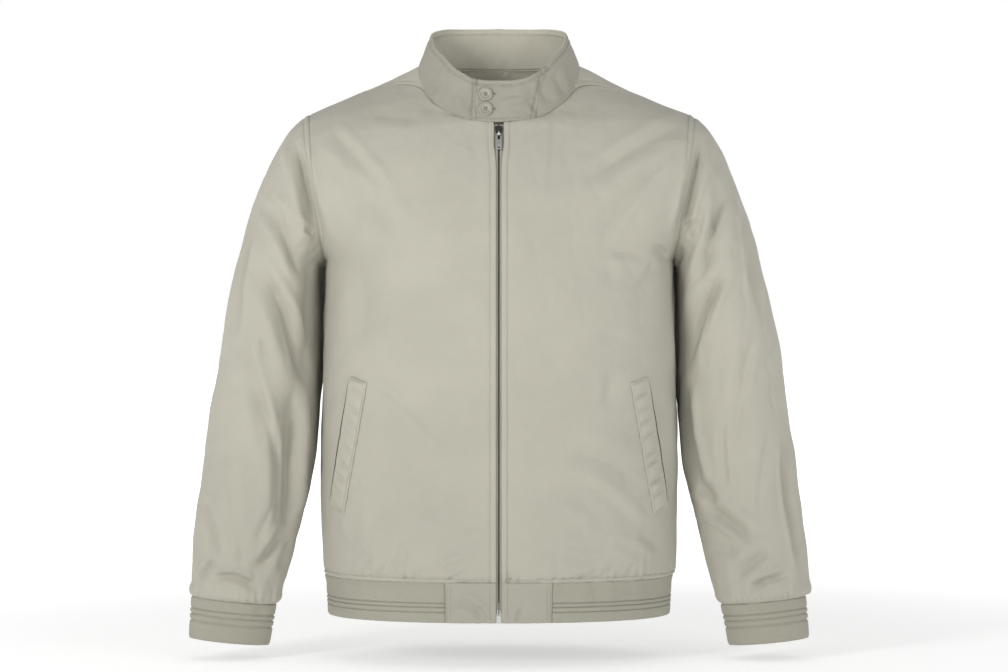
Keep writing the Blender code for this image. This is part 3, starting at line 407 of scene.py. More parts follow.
def streaks(points, size, lean, seed):
    # narrow uneven creases that run down the cloth, in patches
    stretched = points * np.array((1, 0.5, 0.20))
    stretched[..., 0] += lean * points[..., 2]
    wave = drift(stretched, size, seed) + 0.25 * drift(points, size * 0.7, seed + 1)
    patch = softStep(drift(points, 0.14, seed + 2), -0.5, 0.6)
    return -patch * np.exp(-np.abs(wave) / 0.30)


viewSides = {"front": (0, -1, 0), "back": (0, 1, 0)}


def foldHeights(points, normals, table):
    # every fold is a trough along a bowed line, seen from the front or back, steeper on one flank
    total = np.zeros(points.shape[:-1])
    seen, number = points[..., [0, 2]], 0
    for side, folds in table:
        facing = softStep(normals @ np.array(viewSides[side]), 0.10, 0.50)
        for fold in folds:
            x0, z0, x1, z1, bow, width, depth = np.array(fold) / 1000
            first = np.array((x0, z0))
            run = np.array((x1, z1)) - first
            length = np.linalg.norm(run)
            along = (seen - first) @ run / length**2
            across = (seen - first) @ np.array((-run[1], run[0])) / length
            off = (across - bow * 4 * along * (1 - along)) / width
            off /= 1 + foldShape["unevenFlanks"] * math.sin(1.9 * number) * np.tanh(3 * off)
            shape = -np.exp(-foldShape["crispness"] * (np.sqrt(off**2 + 0.05) - 0.22))
            lip = hump(np.abs(off) - foldShape["lipPlace"], foldShape["lipWidth"])
            ends = softStep(along, -0.10, 0.28) * softStep(-along, -1.10, -0.72)
            total += depth * (shape + foldShape["lip"] * lip) * ends * facing
            number += 1
    return total


# Folds by place, in millimetres: x and z of both ends, then bow, width and depth.
# The lip is the raised edge beside each trough; a negative depth makes a ridge.
foldTable = (
    # wearer's right sleeve, front
    ("front", (
        (-240.7, -86.9, -212.5, -194.9, 0, 6.6, 11.6), (-277.1, -163.2, -233.6, -248.9, 6, 8.4, 9.4),
        (-280.6, -233.6, -231.3, -368.6, 7, 8.4, 11.3), (-287.6, -166.7, -311.1, -309.9, -2, 5.3, 6.1),
        (-278.2, -317, -275.9, -340.5, 1, 4.4, 2.6), (-219, -210.1, -229, -374.5, 0, 7.9, 7.2),
        (-243, -382.7, -250.1, -550.6, 3, 9.7, 15.2), (-252.4, -544.7, -285.3, -589.3, 2, 7, 8.7),
        (-245.4, -556.5, -261.8, -594, 1, 5.3, 5.8), (-292.3, -366.3, -257.1, -480.2, 4, 7.5, 3.5),
        (-348.7, -507.2, -332.2, -575.3, 2, 6.2, 5.8), (-335.8, -577.6, -355.7, -602.2, 1, 4.4, 5.8),
        (-338.1, -599.9, -284.1, -612.8, 8, 4.2, 8.7), (-300.5, -562.3, -305.2, -582.3, 1, 3.5, 1.7),
        (-236, -180.8, -220.7, -185.5, 1, 3.5, -2.9), (-228.9, -191.3, -219.5, -194.9, 1, 3.5, 4.3),
        (-306, -308, -261, -474, 5, 6.6, 4.2), (-296, -200, -308, -304, 0, 3, 2.6),
        (-256, -270, -239, -360, 3, 3.4, 2.2), (-262, -410, -260, -530, 2, 4, 2.6),
        (-270, -150, -250, -195, 2, 3.4, 1.6), (-325, -430, -312, -540, 3, 5, 1.8),
        (-270, -520, -286, -560, 1, 3.4, 2.2),
    )),
    # wearer's left sleeve, front
    ("front", (
        (240.7, -86.9, 212.5, -194.9, 0, 5.7, 10.4), (259.5, -143.2, 231.3, -260.6, 3, 7.9, 8.7),
        (266.5, -152.6, 250.1, -204.3, 1, 6.2, 3.6), (268.8, -234.8, 226.6, -354.5, -9, 7.9, 10.4),
        (286.5, -151.4, 302.9, -280.6, 0, 5.3, 6.1), (214.5, -204.3, 216, -368.6, 0, 7, 6.5),
        (221.9, -374.5, 238.3, -497.8, -5, 7.9, 10.9), (236, -493.1, 252.4, -514.2, 1, 6.2, 7.2),
        (243, -518.9, 294.7, -554.1, 1, 6.2, 9), (318.1, -565.9, 278.2, -598.7, 1, 6.2, 6.5),
        (339.3, -597.6, 294.7, -614, -3, 4, 8), (335.8, -427.3, 355.7, -597.6, -7, 4.6, 6.5),
        (247.7, -568.2, 280.6, -570.5, 1, 5.3, 2.2), (216, -190.2, 232.5, -182, 2, 2.8, 4.3),
        (221.9, -196, 228.9, -199.6, 0, 3.5, 2.3), (219.5, -179.6, 236, -177.3, 0, 3.5, -2.2),
        (306, -300, 276, -450, -4, 6.6, 3.4), (298, -205, 307, -295, 0, 3, 2.6),
        (255, -275, 240, -355, -3, 3.4, 2.2), (264, -415, 268, -500, -2, 4, 2.6),
        (272, -150, 250, -198, -2, 3.4, 1.6), (318, -430, 305, -530, -3, 5, 1.8),
    )),
    # body, front, wearer's right
    ("front", (
        (-195.7, -75.9, -132, -147.7, 1, 7.4, 4.2), (-172.5, -124.6, -123.9, -199.8, 2, 14.7, 4.9),
        (-149.4, -57.4, -91.5, -64.3, 1, 11, 2), (-56.7, -69, -16.2, -93.3, -2, 2.8, 1.1),
        (-44, -68, -14, -87, -2, 2.4, 0.9), (-68, -70, -24, -101, -3, 3.1, 0.9),
        (-163.3, -223, -161, -333, 2, 12.9, 2.9), (-137, -373.2, -62.2, -438.8, 1, 2.9, 1.4),
        (-169, -486, -162, -494, 1, 3.7, 2), (-177, -528.6, -169, -557.4, 1, 6.4, 2.6),
        (-139, -499.8, -134.7, -528.6, 1, 7.4, 1.6), (-71.4, -480.3, -81.7, -528.6, 2, 8.3, 1.8),
        (-108.2, -545.9, -120.9, -588.5, 2, 5.5, 2.6), (-73.7, -588.5, -21.9, -572.4, 2, 4.1, 2.6),
        (-190, -550, -150, -580, 2, 5.5, 1.8),
    )),
    # body, front, wearer's left
    ("front", (
        (63.7, -37.7, 57.9, -150, 1, 3.7, 1.4), (221.2, -64.3, 105.4, -133.8, -3, 9.2, 5.1),
        (200.3, -95.6, 119.3, -203.3, -4, 9.2, 4.2), (54, -69, 20, -93.3, 2, 2.8, 1.1),
        (42, -69, 16, -86, 2, 2.4, 0.9), (180.6, -211.4, 194.5, -223, 3, 5.5, 4),
        (130.9, -221.8, 165.6, -221.8, 2, 4.6, 1.9), (180.6, -231.1, 161, -260, 1, 5.5, 2.6),
        (123.9, -231, 130.9, -257.7, 2, 7.4, 1.6), (118.6, -319.1, 141.6, -314.5, 1, 5.5, 1.9),
        (128.9, -358.3, 124.3, -396.3, 1, 7.4, 2.1), (79.4, -450.4, 162.3, -489.5, 8, 11, 3.5),
        (95.5, -487.2, 164.6, -542.5, 4, 10.1, 3.4), (84, -496.4, 123.2, -542.5, 2, 9.2, 2.2),
        (162.3, -547, 187.6, -565.5, 1, 9.2, 3), (70.2, -570, 116.3, -577, 1, 4.6, 2.1),
        (133.5, -557.4, 173.8, -574.7, 1, 5.5, 1.9),
    )),
    # short wrinkles above the waist and beside the zip
    ("front", (
        (-88, -600, -42, -562, 4, 3, 1.7), (-124, -601, -118, -570, 2, 3.2, 2),
        (-98, -602, -86, -583, 1, 3, 2), (-142, -599, -133, -578, 1, 3, 1.7),
        (-162, -600, -150, -570, 2, 3.6, 1.9), (-62, -601, -33, -586, 2, 2.8, 1.5),
        (72, -602, 116, -588, -2, 3, 1.7), (103, -601, 137, -581, -2, 3, 1.7),
        (147, -600, 156, -580, 1, 3, 1.9), (44, -579, 96, -556, 3, 3.4, 1.5),
        (-45, -545, -15, -534, 2, 3, 1.2), (13, -556, 52, -548, -2, 3, 1.2),
        (-38, -76, -20, -112, -2, 2.2, 1.2), (36, -76, 21, -110, 2, 2.2, 1.2),
    )),
    # waist tabs
    ("front", (
        (-50.6, -623, -19.6, -641.4, 6, 4.6, 2.9), (-24.2, -627.6, -12.7, -648.3, 1, 3.7, 2.4),
        (25.3, -630, 19.6, -648, 1, 3.7, 2.1),
    )),
    # back
    ("back", (
        (-190, -90, -100, -150, 6, 14.7, 6), (190, -85, 110, -160, -6, 14.7, 5.7),
        (-178, -130, -120, -210, 4, 11, 4), (182, -135, 130, -215, -4, 11, 3.7),
        (-120, -50, -40, -90, 4, 12, 2.2), (110, -45, 30, -82, 4, 12, 2.2),
        (-150, -590, -100, -500, -8, 12, 4.9), (140, -590, 80, -515, 8, 12, 4.9),
        (-30, -110, -12, -230, 3, 12, 3), (48, -130, 22, -250, -3, 11, 2.6),
        (-130, -596, -118, -560, 1, 3.4, 1.3), (-98, -598, -84, -572, 1, 3.2, 1.3),
        (-30, -599, -22, -570, 1, 3.4, 1.2), (22, -599, 31, -574, 1, 3.2, 1.2),
        (74, -598, 85, -565, 1, 3.4, 1.3), (118, -597, 129, -569, 1, 3.2, 1.2),
        (-50, -560, 40, -548, 4, 7.4, 2.6), (-90, -576, -50, -565, 2, 4.6, 2),
        (50, -574, 96, -560, 2, 4.6, 2), (-175, -300, -125, -360, 4, 11, 2.6),
        (170, -310, 130, -370, -4, 11, 2.6), (-178, -440, -120, -490, 6, 10.1, 3.5),
        (176, -450, 118, -482, -6, 10.1, 3.1), (-248, -90, -218, -200, 2, 7, 10.1),
        (248, -90, 218, -200, -2, 7, 10.1), (-286, -150, -240, -230, 5, 8.4, 8),
        (284, -158, 238, -240, -5, 8.4, 8), (-300, -250, -240, -350, 6, 8.8, 9),
        (305, -235, 240, -340, -6, 8.8, 8.7), (-306, -330, -250, -410, 5, 8.8, 7),
        (310, -345, 252, -415, -5, 8.8, 7.2), (-330, -400, -270, -430, 5, 7.9, 4.3),
        (334, -410, 272, -450, 5, 7.9, 4.3), (-256, -430, -264, -550, 3, 7.9, 8.7),
        (256, -440, 266, -545, -3, 7.9, 8.4), (-340, -520, -290, -560, 4, 6.2, 6.4),
        (344, -510, 296, -562, -4, 6.2, 6.4), (-350, -604, -290, -612, -5, 4.4, 7.2),
        (350, -604, 290, -612, 5, 4.4, 7.2), (-296, -585, -276, -608, 2, 4.4, 4.3),
        (310, -578, 284, -606, 2, 4.4, 4.3),
    )),
    # short wrinkles beside the welts
    ("front", (
        (-161.9, -400.4, -143.9, -404.9, -1, 3.4, 1.1), (161.9, -394.4, 143.9, -398.9, 1, 3.4, 1.1),
        (-168.9, -439, -150.9, -443.5, -1, 3.4, 1.1), (168.9, -433, 150.9, -437.5, 1, 3.4, 1.1),
        (-175.4, -475, -157.4, -479.5, -1, 3.4, 1.1), (175.4, -469, 157.4, -473.5, 1, 3.4, 1.1),
        (-180.7, -504, -162.7, -508.5, -1, 3.4, 1.1), (180.7, -498, 162.7, -502.5, 1, 3.4, 1.1),
    )),
)
foldShape = {"lip": 0.42, "lipPlace": 2.0, "lipWidth": 0.9, "crispness": 1.3, "unevenFlanks": 0.35}


def placeObject(name, data):
    piece = bpy.data.objects.new(name, data)
    bpy.context.scene.collection.objects.link(piece)
    return piece


def meshFrom(shape, name):
    # a bmesh turned into mesh data
    data = bpy.data.meshes.new(name)
    shape.to_mesh(data)
    shape.free()
    return data


def meshObject(name, points, faces, uvs=None, smooth=True):
    mesh = bpy.data.meshes.new(name)
    mesh.from_pydata([tuple(p) for p in points], [], faces)
    mesh.update()
    if uvs is not None:
        layer = mesh.uv_layers.new(name="cloth")
        corners = np.empty(len(mesh.loops), np.int32)
        mesh.loops.foreach_get("vertex_index", corners)
        layer.data.foreach_set("uv", np.asarray(uvs, np.float32)[corners].ravel())
    if smooth:
        mesh.shade_smooth()
    return placeObject(name, mesh)


def gridQuads(rows, columns):
    r, c = np.meshgrid(np.arange(rows - 1), np.arange(columns - 1), indexing="ij")
    first = (r * columns + c).reshape(-1)
    return np.stack([first, first + 1, first + columns + 1, first + columns], axis=-1)


def clothShell(name, grid, normals, lift, thickness, flip=False, wallFrom=0):
    # an outer and an inner skin, joined at the borders; the first column's wall starts at a row
    rows, columns = grid.shape[:2]
    half = np.broadcast_to(np.asarray(thickness) / 2, lift.shape)
    outer = grid + normals * (lift + half)[..., None]
    inner = grid + normals * (lift - half)[..., None]
    count = rows * columns
    quads = gridQuads(rows, columns)
    faces = [quads, quads[:, ::-1] + count]
    around, last = np.arange(columns - 1), (rows - 1) * columns
    start, end = np.arange(wallFrom, rows - 1) * columns, np.arange(rows - 1) * columns + columns - 1
    walls = [(around + 1, around), (last + around, last + around + 1),
             (start, start + columns), (end + columns, end)]
    for first, second in walls:
        faces.append(np.stack([first, second, second + count, first + count], axis=1))
    faces = np.concatenate(faces)
    if flip:
        faces = faces[:, ::-1]
    across = np.linalg.norm(np.diff(grid, axis=1), axis=2)
    u = np.concatenate([np.zeros((rows, 1)), np.cumsum(across, axis=1)], axis=1)
    v = lengthsAlong(grid[:, columns // 2])[:, None] + np.zeros((1, columns))
    uvs = np.stack([u, v], axis=-1).reshape(-1, 2)
    points = np.concatenate([outer.reshape(-1, 3), inner.reshape(-1, 3)])
    piece = meshObject(name, points, faces.tolist(), np.concatenate([uvs, uvs]))
    return piece, outer


def allBorders(grid):
    return [grid[0], grid[-1], grid[:, 0], grid[:, -1]]


def roundedEdges(points, lines, radius):
    # 0 on the given border lines and 1 inside, along a quarter circle
    share = np.ones(points.shape[:2])
    for line in lines:
        reach = np.clip(seamReach(points, line)[0] / radius, 0, 1)
        share = np.minimum(share, np.sqrt(1 - (1 - reach) ** 2))
    return np.maximum(share, 0.12)


def finishPiece(piece, body, slot, node="", finish=None):
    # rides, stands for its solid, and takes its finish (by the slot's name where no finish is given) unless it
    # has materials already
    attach(piece, body)
    if node:
        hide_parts(node)
    if not piece.data.materials:
        piece.data.materials.append(finishes[finish or slot])
    return piece


def makeCloth(name, grid, normals, lift, thickness, slot, weld=False, finish=None):
    # one shell that stands for the solid of its name; a tube is welded along its seam
    pieces[name], skins[name] = clothShell(name + "_cloth", grid, normals, lift, thickness)
    if weld:
        joinPieces([pieces[name]], name + "_cloth", weldReach)
    finishPiece(pieces[name], "jacket", slot, name, finish)


# What a seam does where its own values don't say otherwise: the dip at its line, how much of the
# folds it keeps and how far it calms them, and its stitched groove, the strip beside that, and puckers.
plainSeam = {
    "dip": 0.0007, "dipWidth": 0.0022, "keep": 0.3, "calm": 0.010,
    "groove": 0.00085, "grooveWidth": 0.0013, "strip": 0.00030, "from": -1.0,
    "pucker": 0.00022, "puckerPitch": 0.0075, "puckerWidth": 0.0065,
    "puffPlace": 0.009, "puffWidth": 0.0075,
}


def seamEffects(points, seams, seed):
    # the lift that all seams give the cloth, and how much of its folds is left beside them
    lift = np.zeros(points.shape[:2])
    fade = np.ones(points.shape[:2])
    for number, given in enumerate(seams):
        values = {**plainSeam, **given}
        reach, along = seamReach(points, values["line"])
        lift -= values["dip"] * hump(reach, values["dipWidth"])
        fade *= values["keep"] + (1 - values["keep"]) * softStep(reach, 0, values["calm"])
        if "stitch" in values:
            place = values["stitch"]
            only = softStep(np.abs(points[..., 0]), values["from"] - 0.004, values["from"])
            lift -= only * values["groove"] * hump(reach - place, values["grooveWidth"])
            lift += only * values["strip"] * softStep(-reach, -place, -place + 0.002)
            wave = waver(along, values["puckerPitch"], seed + number)
            lift += values["pucker"] * wave * hump(reach - place, values["puckerWidth"])
        if "puff" in values:
            lift += values["puff"] * hump(reach - values["puffPlace"], values["puffWidth"])
        if "gather" in values:
            wave = waver(along, values["gatherPitch"], seed + 40 + number)
            wide = waver(along, values["gatherPitch"] * 4, seed + 80 + number)
            long = values["gatherLength"] * (1 + 0.45 * wide)
            body = softStep(reach, 0.0004, 0.006) * np.exp(-np.maximum(reach - 0.006, 0) / long)
            lift += values["gather"] * wave * (0.75 + 0.35 * wide) * body
    return lift, fade


leaning = {"body": 0.0045, "sleeve": 0.0095}


def restingPart(points, normals, side):
    # where arm and body lean on each other, behind their widest lines
    facing = softStep(normals[..., 0] * side, 0.35, 0.85)
    height = softStep(points[..., 2], -0.500, -0.420) * softStep(-points[..., 2], 0.180, 0.225)
    return hump(points[..., 1] - 0.036, 0.022) * facing * height


unevenCloth = {"large": 0.0012, "largeSize": 0.140, "small": 0.00040, "smallSize": 0.036}
# depth, pitch and lean of the fine creases, and what finer ones among them have of these
finer = (0.40, 0.48, 0.5)
creases = {"front": (0.0008, 0.070, 0.10), "back": (0.0013, 0.070, 0.0), "sleeve": (0.0016, 0.046, 0.30)}


def clothLift(points, normals, seams, seed, kind, side):
    lift = foldHeights(points, normals, foldTable)
    depth, size, lean = creases[kind]
    lift += depth * streaks(points, size, lean * side, seed + 3)
    lift += finer[0] * depth * streaks(points, finer[1] * size, finer[2] * lean * side, seed + 8)
    lift += unevenCloth["large"] * drift(points, unevenCloth["largeSize"], 5)
    lift += unevenCloth["small"] * drift(points, unevenCloth["smallSize"], 6)
    effects, fade = seamEffects(points, seams, seed)
    return lift * fade + effects


# Finishes: every cloth has the plain cotton's values, changed by its own.
plainCotton = {"rough": 0.86, "sheen": 0.10, "weave": 0.00042, "depth": 0.22, "tone": 0.035, "rumple": 0.5}
finishSettings = {
    "cotton": {"colour": (0.397, 0.383, 0.322), "rumple": 0.6},
    # collar: the same cotton painted darker, painted shade for the collar's tilt away from the lights
    "collar": {"colour": (0.293, 0.281, 0.235)},
    # waist_tab: the same cotton made a little darker to match the tabs' brightness under the lights, painted
    # shade
    "waist_tab": {"colour": (0.345, 0.332, 0.278)},
    "collar_inside": {"colour": (0.495, 0.477, 0.396), "rough": 0.88, "sheen": 0.05},
    "cotton_inside": {"colour": (0.600, 0.580, 0.480), "rough": 0.88, "sheen": 0.05},
    "rib": {"colour": (0.340, 0.333, 0.270), "rough": 0.93, "sheen": 0.12, "weave": 0.0012, "depth": 0.50,
            "tone": 0.05},
    "tape": {"colour": (0.330, 0.318, 0.268), "rough": 0.90, "sheen": 0.05, "weave": 0.0008,
            "depth": 0.35, "tone": 0.04, "rumple": 0.3},
}


def addNode(tree, kind, **sockets):
    node = tree.nodes.new(kind)
    for key, value in sockets.items():
        if key in node.inputs:
            node.inputs[key].default_value = value
        else:
            setattr(node, key, value)
    return node


def joinNodes(tree, *links):
    # each link is (node, output, node, input)
    for source, output, target, socket in links:
        tree.links.new(source.outputs[output], target.inputs[socket])


def newMaterial(name, **sockets):
    material = bpy.data.materials.new(name)
    material.use_nodes = True
    shader = material.node_tree.nodes["Principled BSDF"]
    for socket, value in sockets.items():
        shader.inputs[socket].default_value = value
    return material, material.node_tree, shader


def toneRamp(tree, places, colour, tone):
    # two shades of one colour
    ramp = addNode(tree, "ShaderNodeValToRGB")
    for element, place, change in zip(ramp.color_ramp.elements, places, (-tone, tone)):
        element.position = place
        element.color = (*(np.array(colour) * (1 + change)), 1)
    return ramp


def clothFinish(name, settings):
    material, tree, shader = newMaterial(name, **{
        "Roughness": settings["rough"], "Sheen Weight": settings["sheen"],
        "Sheen Roughness": 0.6, "Specular IOR Level": 0.25})
    place = addNode(tree, "ShaderNodeTexCoord")
    blotch = addNode(tree, "ShaderNodeTexNoise", Scale=9.0, Detail=4.0, Roughness=0.6)
    grain = addNode(tree, "ShaderNodeTexNoise", Scale=950.0, Detail=2.0, Roughness=0.7)
    blend = addNode(tree, "ShaderNodeMath", operation="MULTIPLY_ADD")
    blend.inputs[1].default_value = 0.55
    ramp = toneRamp(tree, (0.50, 1.05), settings["colour"], settings["tone"] * 1.5)
    joinNodes(tree, (place, "Object", blotch, "Vector"), (place, "Object", grain, "Vector"),
              (grain, "Fac", blend, 0), (blotch, "Fac", blend, 2), (blend, 0, ramp, "Fac"),
              (ramp, "Color", shader, "Base Color"))
    # the weave runs with the cloth's own u and v
    cloth = addNode(tree, "ShaderNodeUVMap", uv_map="cloth")
    waves = []
    for direction in "X" if name == "rib" else "XY":
        waves.append(addNode(tree, "ShaderNodeTexWave", bands_direction=direction, Distortion=0.6, Detail=1.0,
                             **{"Scale": 0.314 / settings["weave"], "Detail Scale": 2.0}))
        joinNodes(tree, (cloth, "UV", waves[-1], "Vector"))
    last = addNode(tree, "ShaderNodeBump", Strength=settings["depth"], Distance=settings["weave"] * 0.5)
    if len(waves) > 1:
        both = addNode(tree, "ShaderNodeMath", operation="MULTIPLY")
        joinNodes(tree, (waves[0], "Fac", both, 0), (waves[1], "Fac", both, 1), (both, 0, last, "Height"))
    else:
        joinNodes(tree, (waves[0], "Fac", last, "Height"))
    # and the cloth is a little rumpled at two sizes
    for scale, distance, bend in ((130.0, 0.0006, 0.0), (30.0, 0.0026, 0.35)):
        fuzz = addNode(tree, "ShaderNodeTexNoise", Scale=scale, Detail=1.6, Roughness=0.5, Distortion=bend)
        rumple = addNode(tree, "ShaderNodeBump", Strength=settings["rumple"], Distance=distance)
        joinNodes(tree, (place, "Object", fuzz, "Vector"), (fuzz, "Fac", rumple, "Height"),
                  (last, "Normal", rumple, "Normal"))
        last = rumple
    joinNodes(tree, (last, "Normal", shader, "Normal"))
    return material


def plainFinish(name, colour, rough, metal, tone, scale, depth):
    # metal, thread and button finishes with a little wear
    material, tree, shader = newMaterial(name, Metallic=metal)
    place = addNode(tree, "ShaderNodeTexCoord")
    noise = addNode(tree, "ShaderNodeTexNoise", Scale=scale, Detail=3.0)
    ramp = toneRamp(tree, (0.3, 0.7), colour, tone)
    gloss = addNode(tree, "ShaderNodeMapRange", **{"To Min": rough * 0.85, "To Max": min(rough * 1.2, 1)})
    bump = addNode(tree, "ShaderNodeBump", Strength=depth, Distance=0.0002)
    joinNodes(tree, (place, "Object", noise, "Vector"), (noise, "Fac", ramp, "Fac"),
              (ramp, "Color", shader, "Base Color"), (noise, "Fac", gloss, "Value"),
              (gloss, "Result", shader, "Roughness"), (noise, "Fac", bump, "Height"),
              (bump, "Normal", shader, "Normal"))
    return material


# colour, roughness, metal, then tone, scale and depth of the wear
plainSettings = {
    "zip_metal": ((0.58, 0.58, 0.565), 0.34, 1.0, 0.06, 900, 0.15),
    "zip_teeth": ((0.10, 0.10, 0.095), 0.42, 0.9, 0.10, 900, 0.10),
    # zip_dark: the slider's own metal made near black, painted shade for the shadow on the slider's body
    "zip_dark": ((0.060, 0.060, 0.056), 0.45, 0.8, 0.10, 900, 0.10),
    "button": ((0.300, 0.288, 0.236), 0.42, 0.0, 0.07, 260, 0.10),
    # pocket_mouth: near black, painted shade for the shadow inside the pocket's opening, not a colour of the
    # cloth
    "pocket_mouth": ((0.045, 0.042, 0.030), 0.95, 0.0, 0.10, 400, 0.10),
    "thread": ((0.290, 0.278, 0.222), 0.75, 0.0, 0.06, 700, 0.30),
}
finishes = {name: clothFinish(name, {**plainCotton, **settings}) for name, settings in finishSettings.items()}
finishes.update({name: plainFinish(name, *values) for name, values in plainSettings.items()})
print("finishes made")

# Fronts, back and sleeves.
panelSeams = {
    "armhole": {"stitch": 0.0072, "pucker": 0.00026, "dip": 0.0011, "dipWidth": 0.0026, "keep": 0.45,
                "calm": 0.010},
    "side": {"dip": 0.0005, "dipWidth": 0.0018, "keep": 0.8},
    "waist": {"stitch": 0.0066, "pucker": 0.00045, "puckerPitch": 0.0095, "dip": 0.0012, "strip": 0.0009,
              "gather": 0.0012, "gatherPitch": 0.0115, "gatherLength": 0.010, "keep": 0.15, "calm": 0.010,
              "from": 0.0500},
    "zip": {"stitch": 0.0072, "pucker": 0.00016, "dip": 0.0003, "keep": 0.2, "calm": 0.030},
    "neck": {"dip": 0.0006, "keep": 0.1, "calm": 0.022, "gather": 0.00028, "gatherPitch": 0.010,
             "gatherLength": 0.012},
    "shoulder": {"dip": 0.0004, "dipWidth": 0.0016, "keep": 0.8},
}
panelCloth, weldReach = 0.0015, 0.00002
# how far each line of stitches lies from its edge
stitchPlaces = {
    "armhole": 0.0072, "zip": 0.0072, "waist": 0.0064, "shoulder": 0.0068,
    "collarTop": 0.0052, "collarEnd": 0.0046, "collarFoot": 0.0046, "collarSeam": 0.0056,
    "weltEdge": 0.0024, "weltEnd": 0.0030, "tabEdge": 0.0030, "tabLine": 0.0066,
}
# the shell pieces by node name, and their outer surfaces as grids
pieces, skins = {}, {}


def seam(name, line, **changes):
    return {**panelSeams[name], "line": line, **changes}


def importantRows(face):
    # the rows at the underarm and where the neckline starts
    heights, climbs = bodyRows(face)
    under = len(heights) - 1
    return under, under + 1 + int(np.argmin(np.abs(climbs - jacketForm["neckClimb"][face])))


def mirrorGrid(grid):
    return grid[:, ::-1] * np.array((-1, 1, 1))


def armNormals():
    # where body and sleeve meet, both take the normal halfway between theirs
    turns, body = [], []
    for face in ("front", "back"):
        under = importantRows(face)[0]
        own = gridNormals(bodyGrids[face]) * (1 if face == "front" else -1)
        turns += [armAngle(face, climb) for climb in np.concatenate([[0], bodyRows(face)[1]])]
        body += list(own[under:, -1])
    order = np.argsort(turns)
    turns, body = np.array(turns)[order], np.array(body)[order]
    around = np.linspace(-20, 370, 400)
    sleeve = -gridNormals(np.array([ringPoints(sleeveCurves, ring, around) for ring in (0.12, 0.0)]))[-1]
    both = unit(np.stack([np.interp(turns, around, sleeve[:, k]) for k in range(3)], axis=1) + body)
    both[0] = both[-1] = unit(both[0] + both[-1])
    back = jacketForm["shoulderSeamBack"]

    def normalAt(turn):
        turn = (np.asarray(turn, float) + back) % 360 - back
        return unit(np.stack([np.interp(turn, turns, both[:, k]) for k in range(3)], axis=-1))

    return normalAt


armNormal = armNormals()


def bodyNormals(face):
    # a half's outward normals, turned towards the sleeve's beside the armhole
    grid = bodyGrids[face]
    normals = gridNormals(grid) * (1 if face == "front" else -1)
    under = importantRows(face)[0]
    climbs = np.concatenate([[0], bodyRows(face)[1]])
    shared = np.array([armNormal(armAngle(face, climb)) for climb in climbs])
    reach = np.linalg.norm(grid[under:] - grid[under:, -1:], axis=2)
    share = softStep(reach, 0, 0.016)[..., None]
    normals[under:] = unit(shared[:, None] * (1 - share) + normals[under:] * share)
    return normals


def buildFronts():
    under, neck = importantRows("front")
    for name, side, edge, end in (("front_left", 1, 0, -1), ("front_right", -1, -1, 0)):
        grid, normals = bodyGrids["front"], bodyNormals("front")
        if side < 0:
            grid, normals = mirrorGrid(grid), mirrorGrid(normals)
        seams = [
            seam("armhole", grid[under:, end]), seam("side", grid[: under + 1, end]), seam("waist", grid[0]),
            seam("zip", grid[: neck + 1, edge]), seam("neck", grid[neck:, edge]),
            seam("shoulder", grid[-1], stitch=0.0, pucker=0.0002),
        ]
        lift = clothLift(grid, normals, seams, 12 if side > 0 else 11, "front", side)
        lift += leaning["body"] * restingPart(grid, normals, side)
        cloth = panelCloth * roundedEdges(grid, [grid[: neck + 1, edge]], 0.0012)
        makeCloth(name, grid, normals, lift, cloth, "cotton")
    print("fronts", len(pieces["front_left"].data.polygons))


def buildBack():
    under, neck = importantRows("back")
    left = bodyGrids["back"]
    right = left * np.array((-1, 1, 1))
    whole = {row: np.concatenate([right[row, ::-1], left[row, 1:]]) for row in (0, -1)}
    neckLine = np.concatenate([right[neck:, 0][::-1], left[neck + 1 :, 0]])
    seams = [seam("waist", whole[0]), seam("neck", neckLine)]
    for part in (left, right):
        seams += [seam("armhole", part[under:, -1]), seam("side", part[: under + 1, -1]),
                  seam("shoulder", part[-1], stitch=0.0068)]
    halves = []
    for name, side, part in (("left", 1, left), ("right", -1, right)):
        normals = bodyNormals("back") * np.array((side, 1, 1))
        normals[: neck + 1, 0, 0] = 0
        normals = unit(normals)
        lift = clothLift(part, normals, seams, 13, "back", 1)
        lift += leaning["body"] * restingPart(part, normals, side)
        piece, skins["back_" + name] = clothShell(
            "back_cloth_" + name, part, normals, lift, panelCloth, flip=side > 0, wallFrom=neck)
        halves.append(piece)
    joinPieces(halves, "back_cloth", weldReach)
    pieces["back"] = halves[0]
    finishPiece(pieces["back"], "jacket", "cotton", "back")
    print("back", len(pieces["back"].data.polygons))


def joinPieces(parts, name, weld=0.0):
    bpy.ops.object.select_all(action="DESELECT")
    for part in parts:
        part.select_set(True)
    bpy.context.view_layer.objects.active = parts[0]
    if len(parts) > 1:
        bpy.ops.object.join()
    parts[0].name = name
    if weld:
        mesh = bmesh.new()
        mesh.from_mesh(parts[0].data)
        bmesh.ops.remove_doubles(mesh, verts=mesh.verts, dist=weld)
        mesh.to_mesh(parts[0].data)
        mesh.free()
    return parts[0]


def sleeveRings():
    fine = np.linspace(0, 13, 500)
    line = np.stack([sleeveCurves[name](fine) for name in ("outerX", "outerZ", "innerX", "innerZ")], axis=1)
    run = lengthsAlong(line) / math.sqrt(2)
    return np.interp(gradedShares(run[-1]) * run[-1], run, fine)


def tubeGrid(curves, rings, angles, mirror):
    # the last column repeats the first, along the underarm seam
    grid = np.array([ringPoints(curves, ring, angles) for ring in rings])
    normals = gridNormals(grid, closed=True)
    if curves is sleeveCurves:
        reach = np.linalg.norm(grid - grid[-1:], axis=2)
        share = softStep(reach, 0, 0.016)[..., None]
        normals = unit(armNormal(angles)[None] * (1 - share) + normals * share)
    if mirror:
        grid, normals = mirrorGrid(grid), mirrorGrid(normals)
    return [np.concatenate([part, part[:, :1]], axis=1) for part in (grid, normals)]


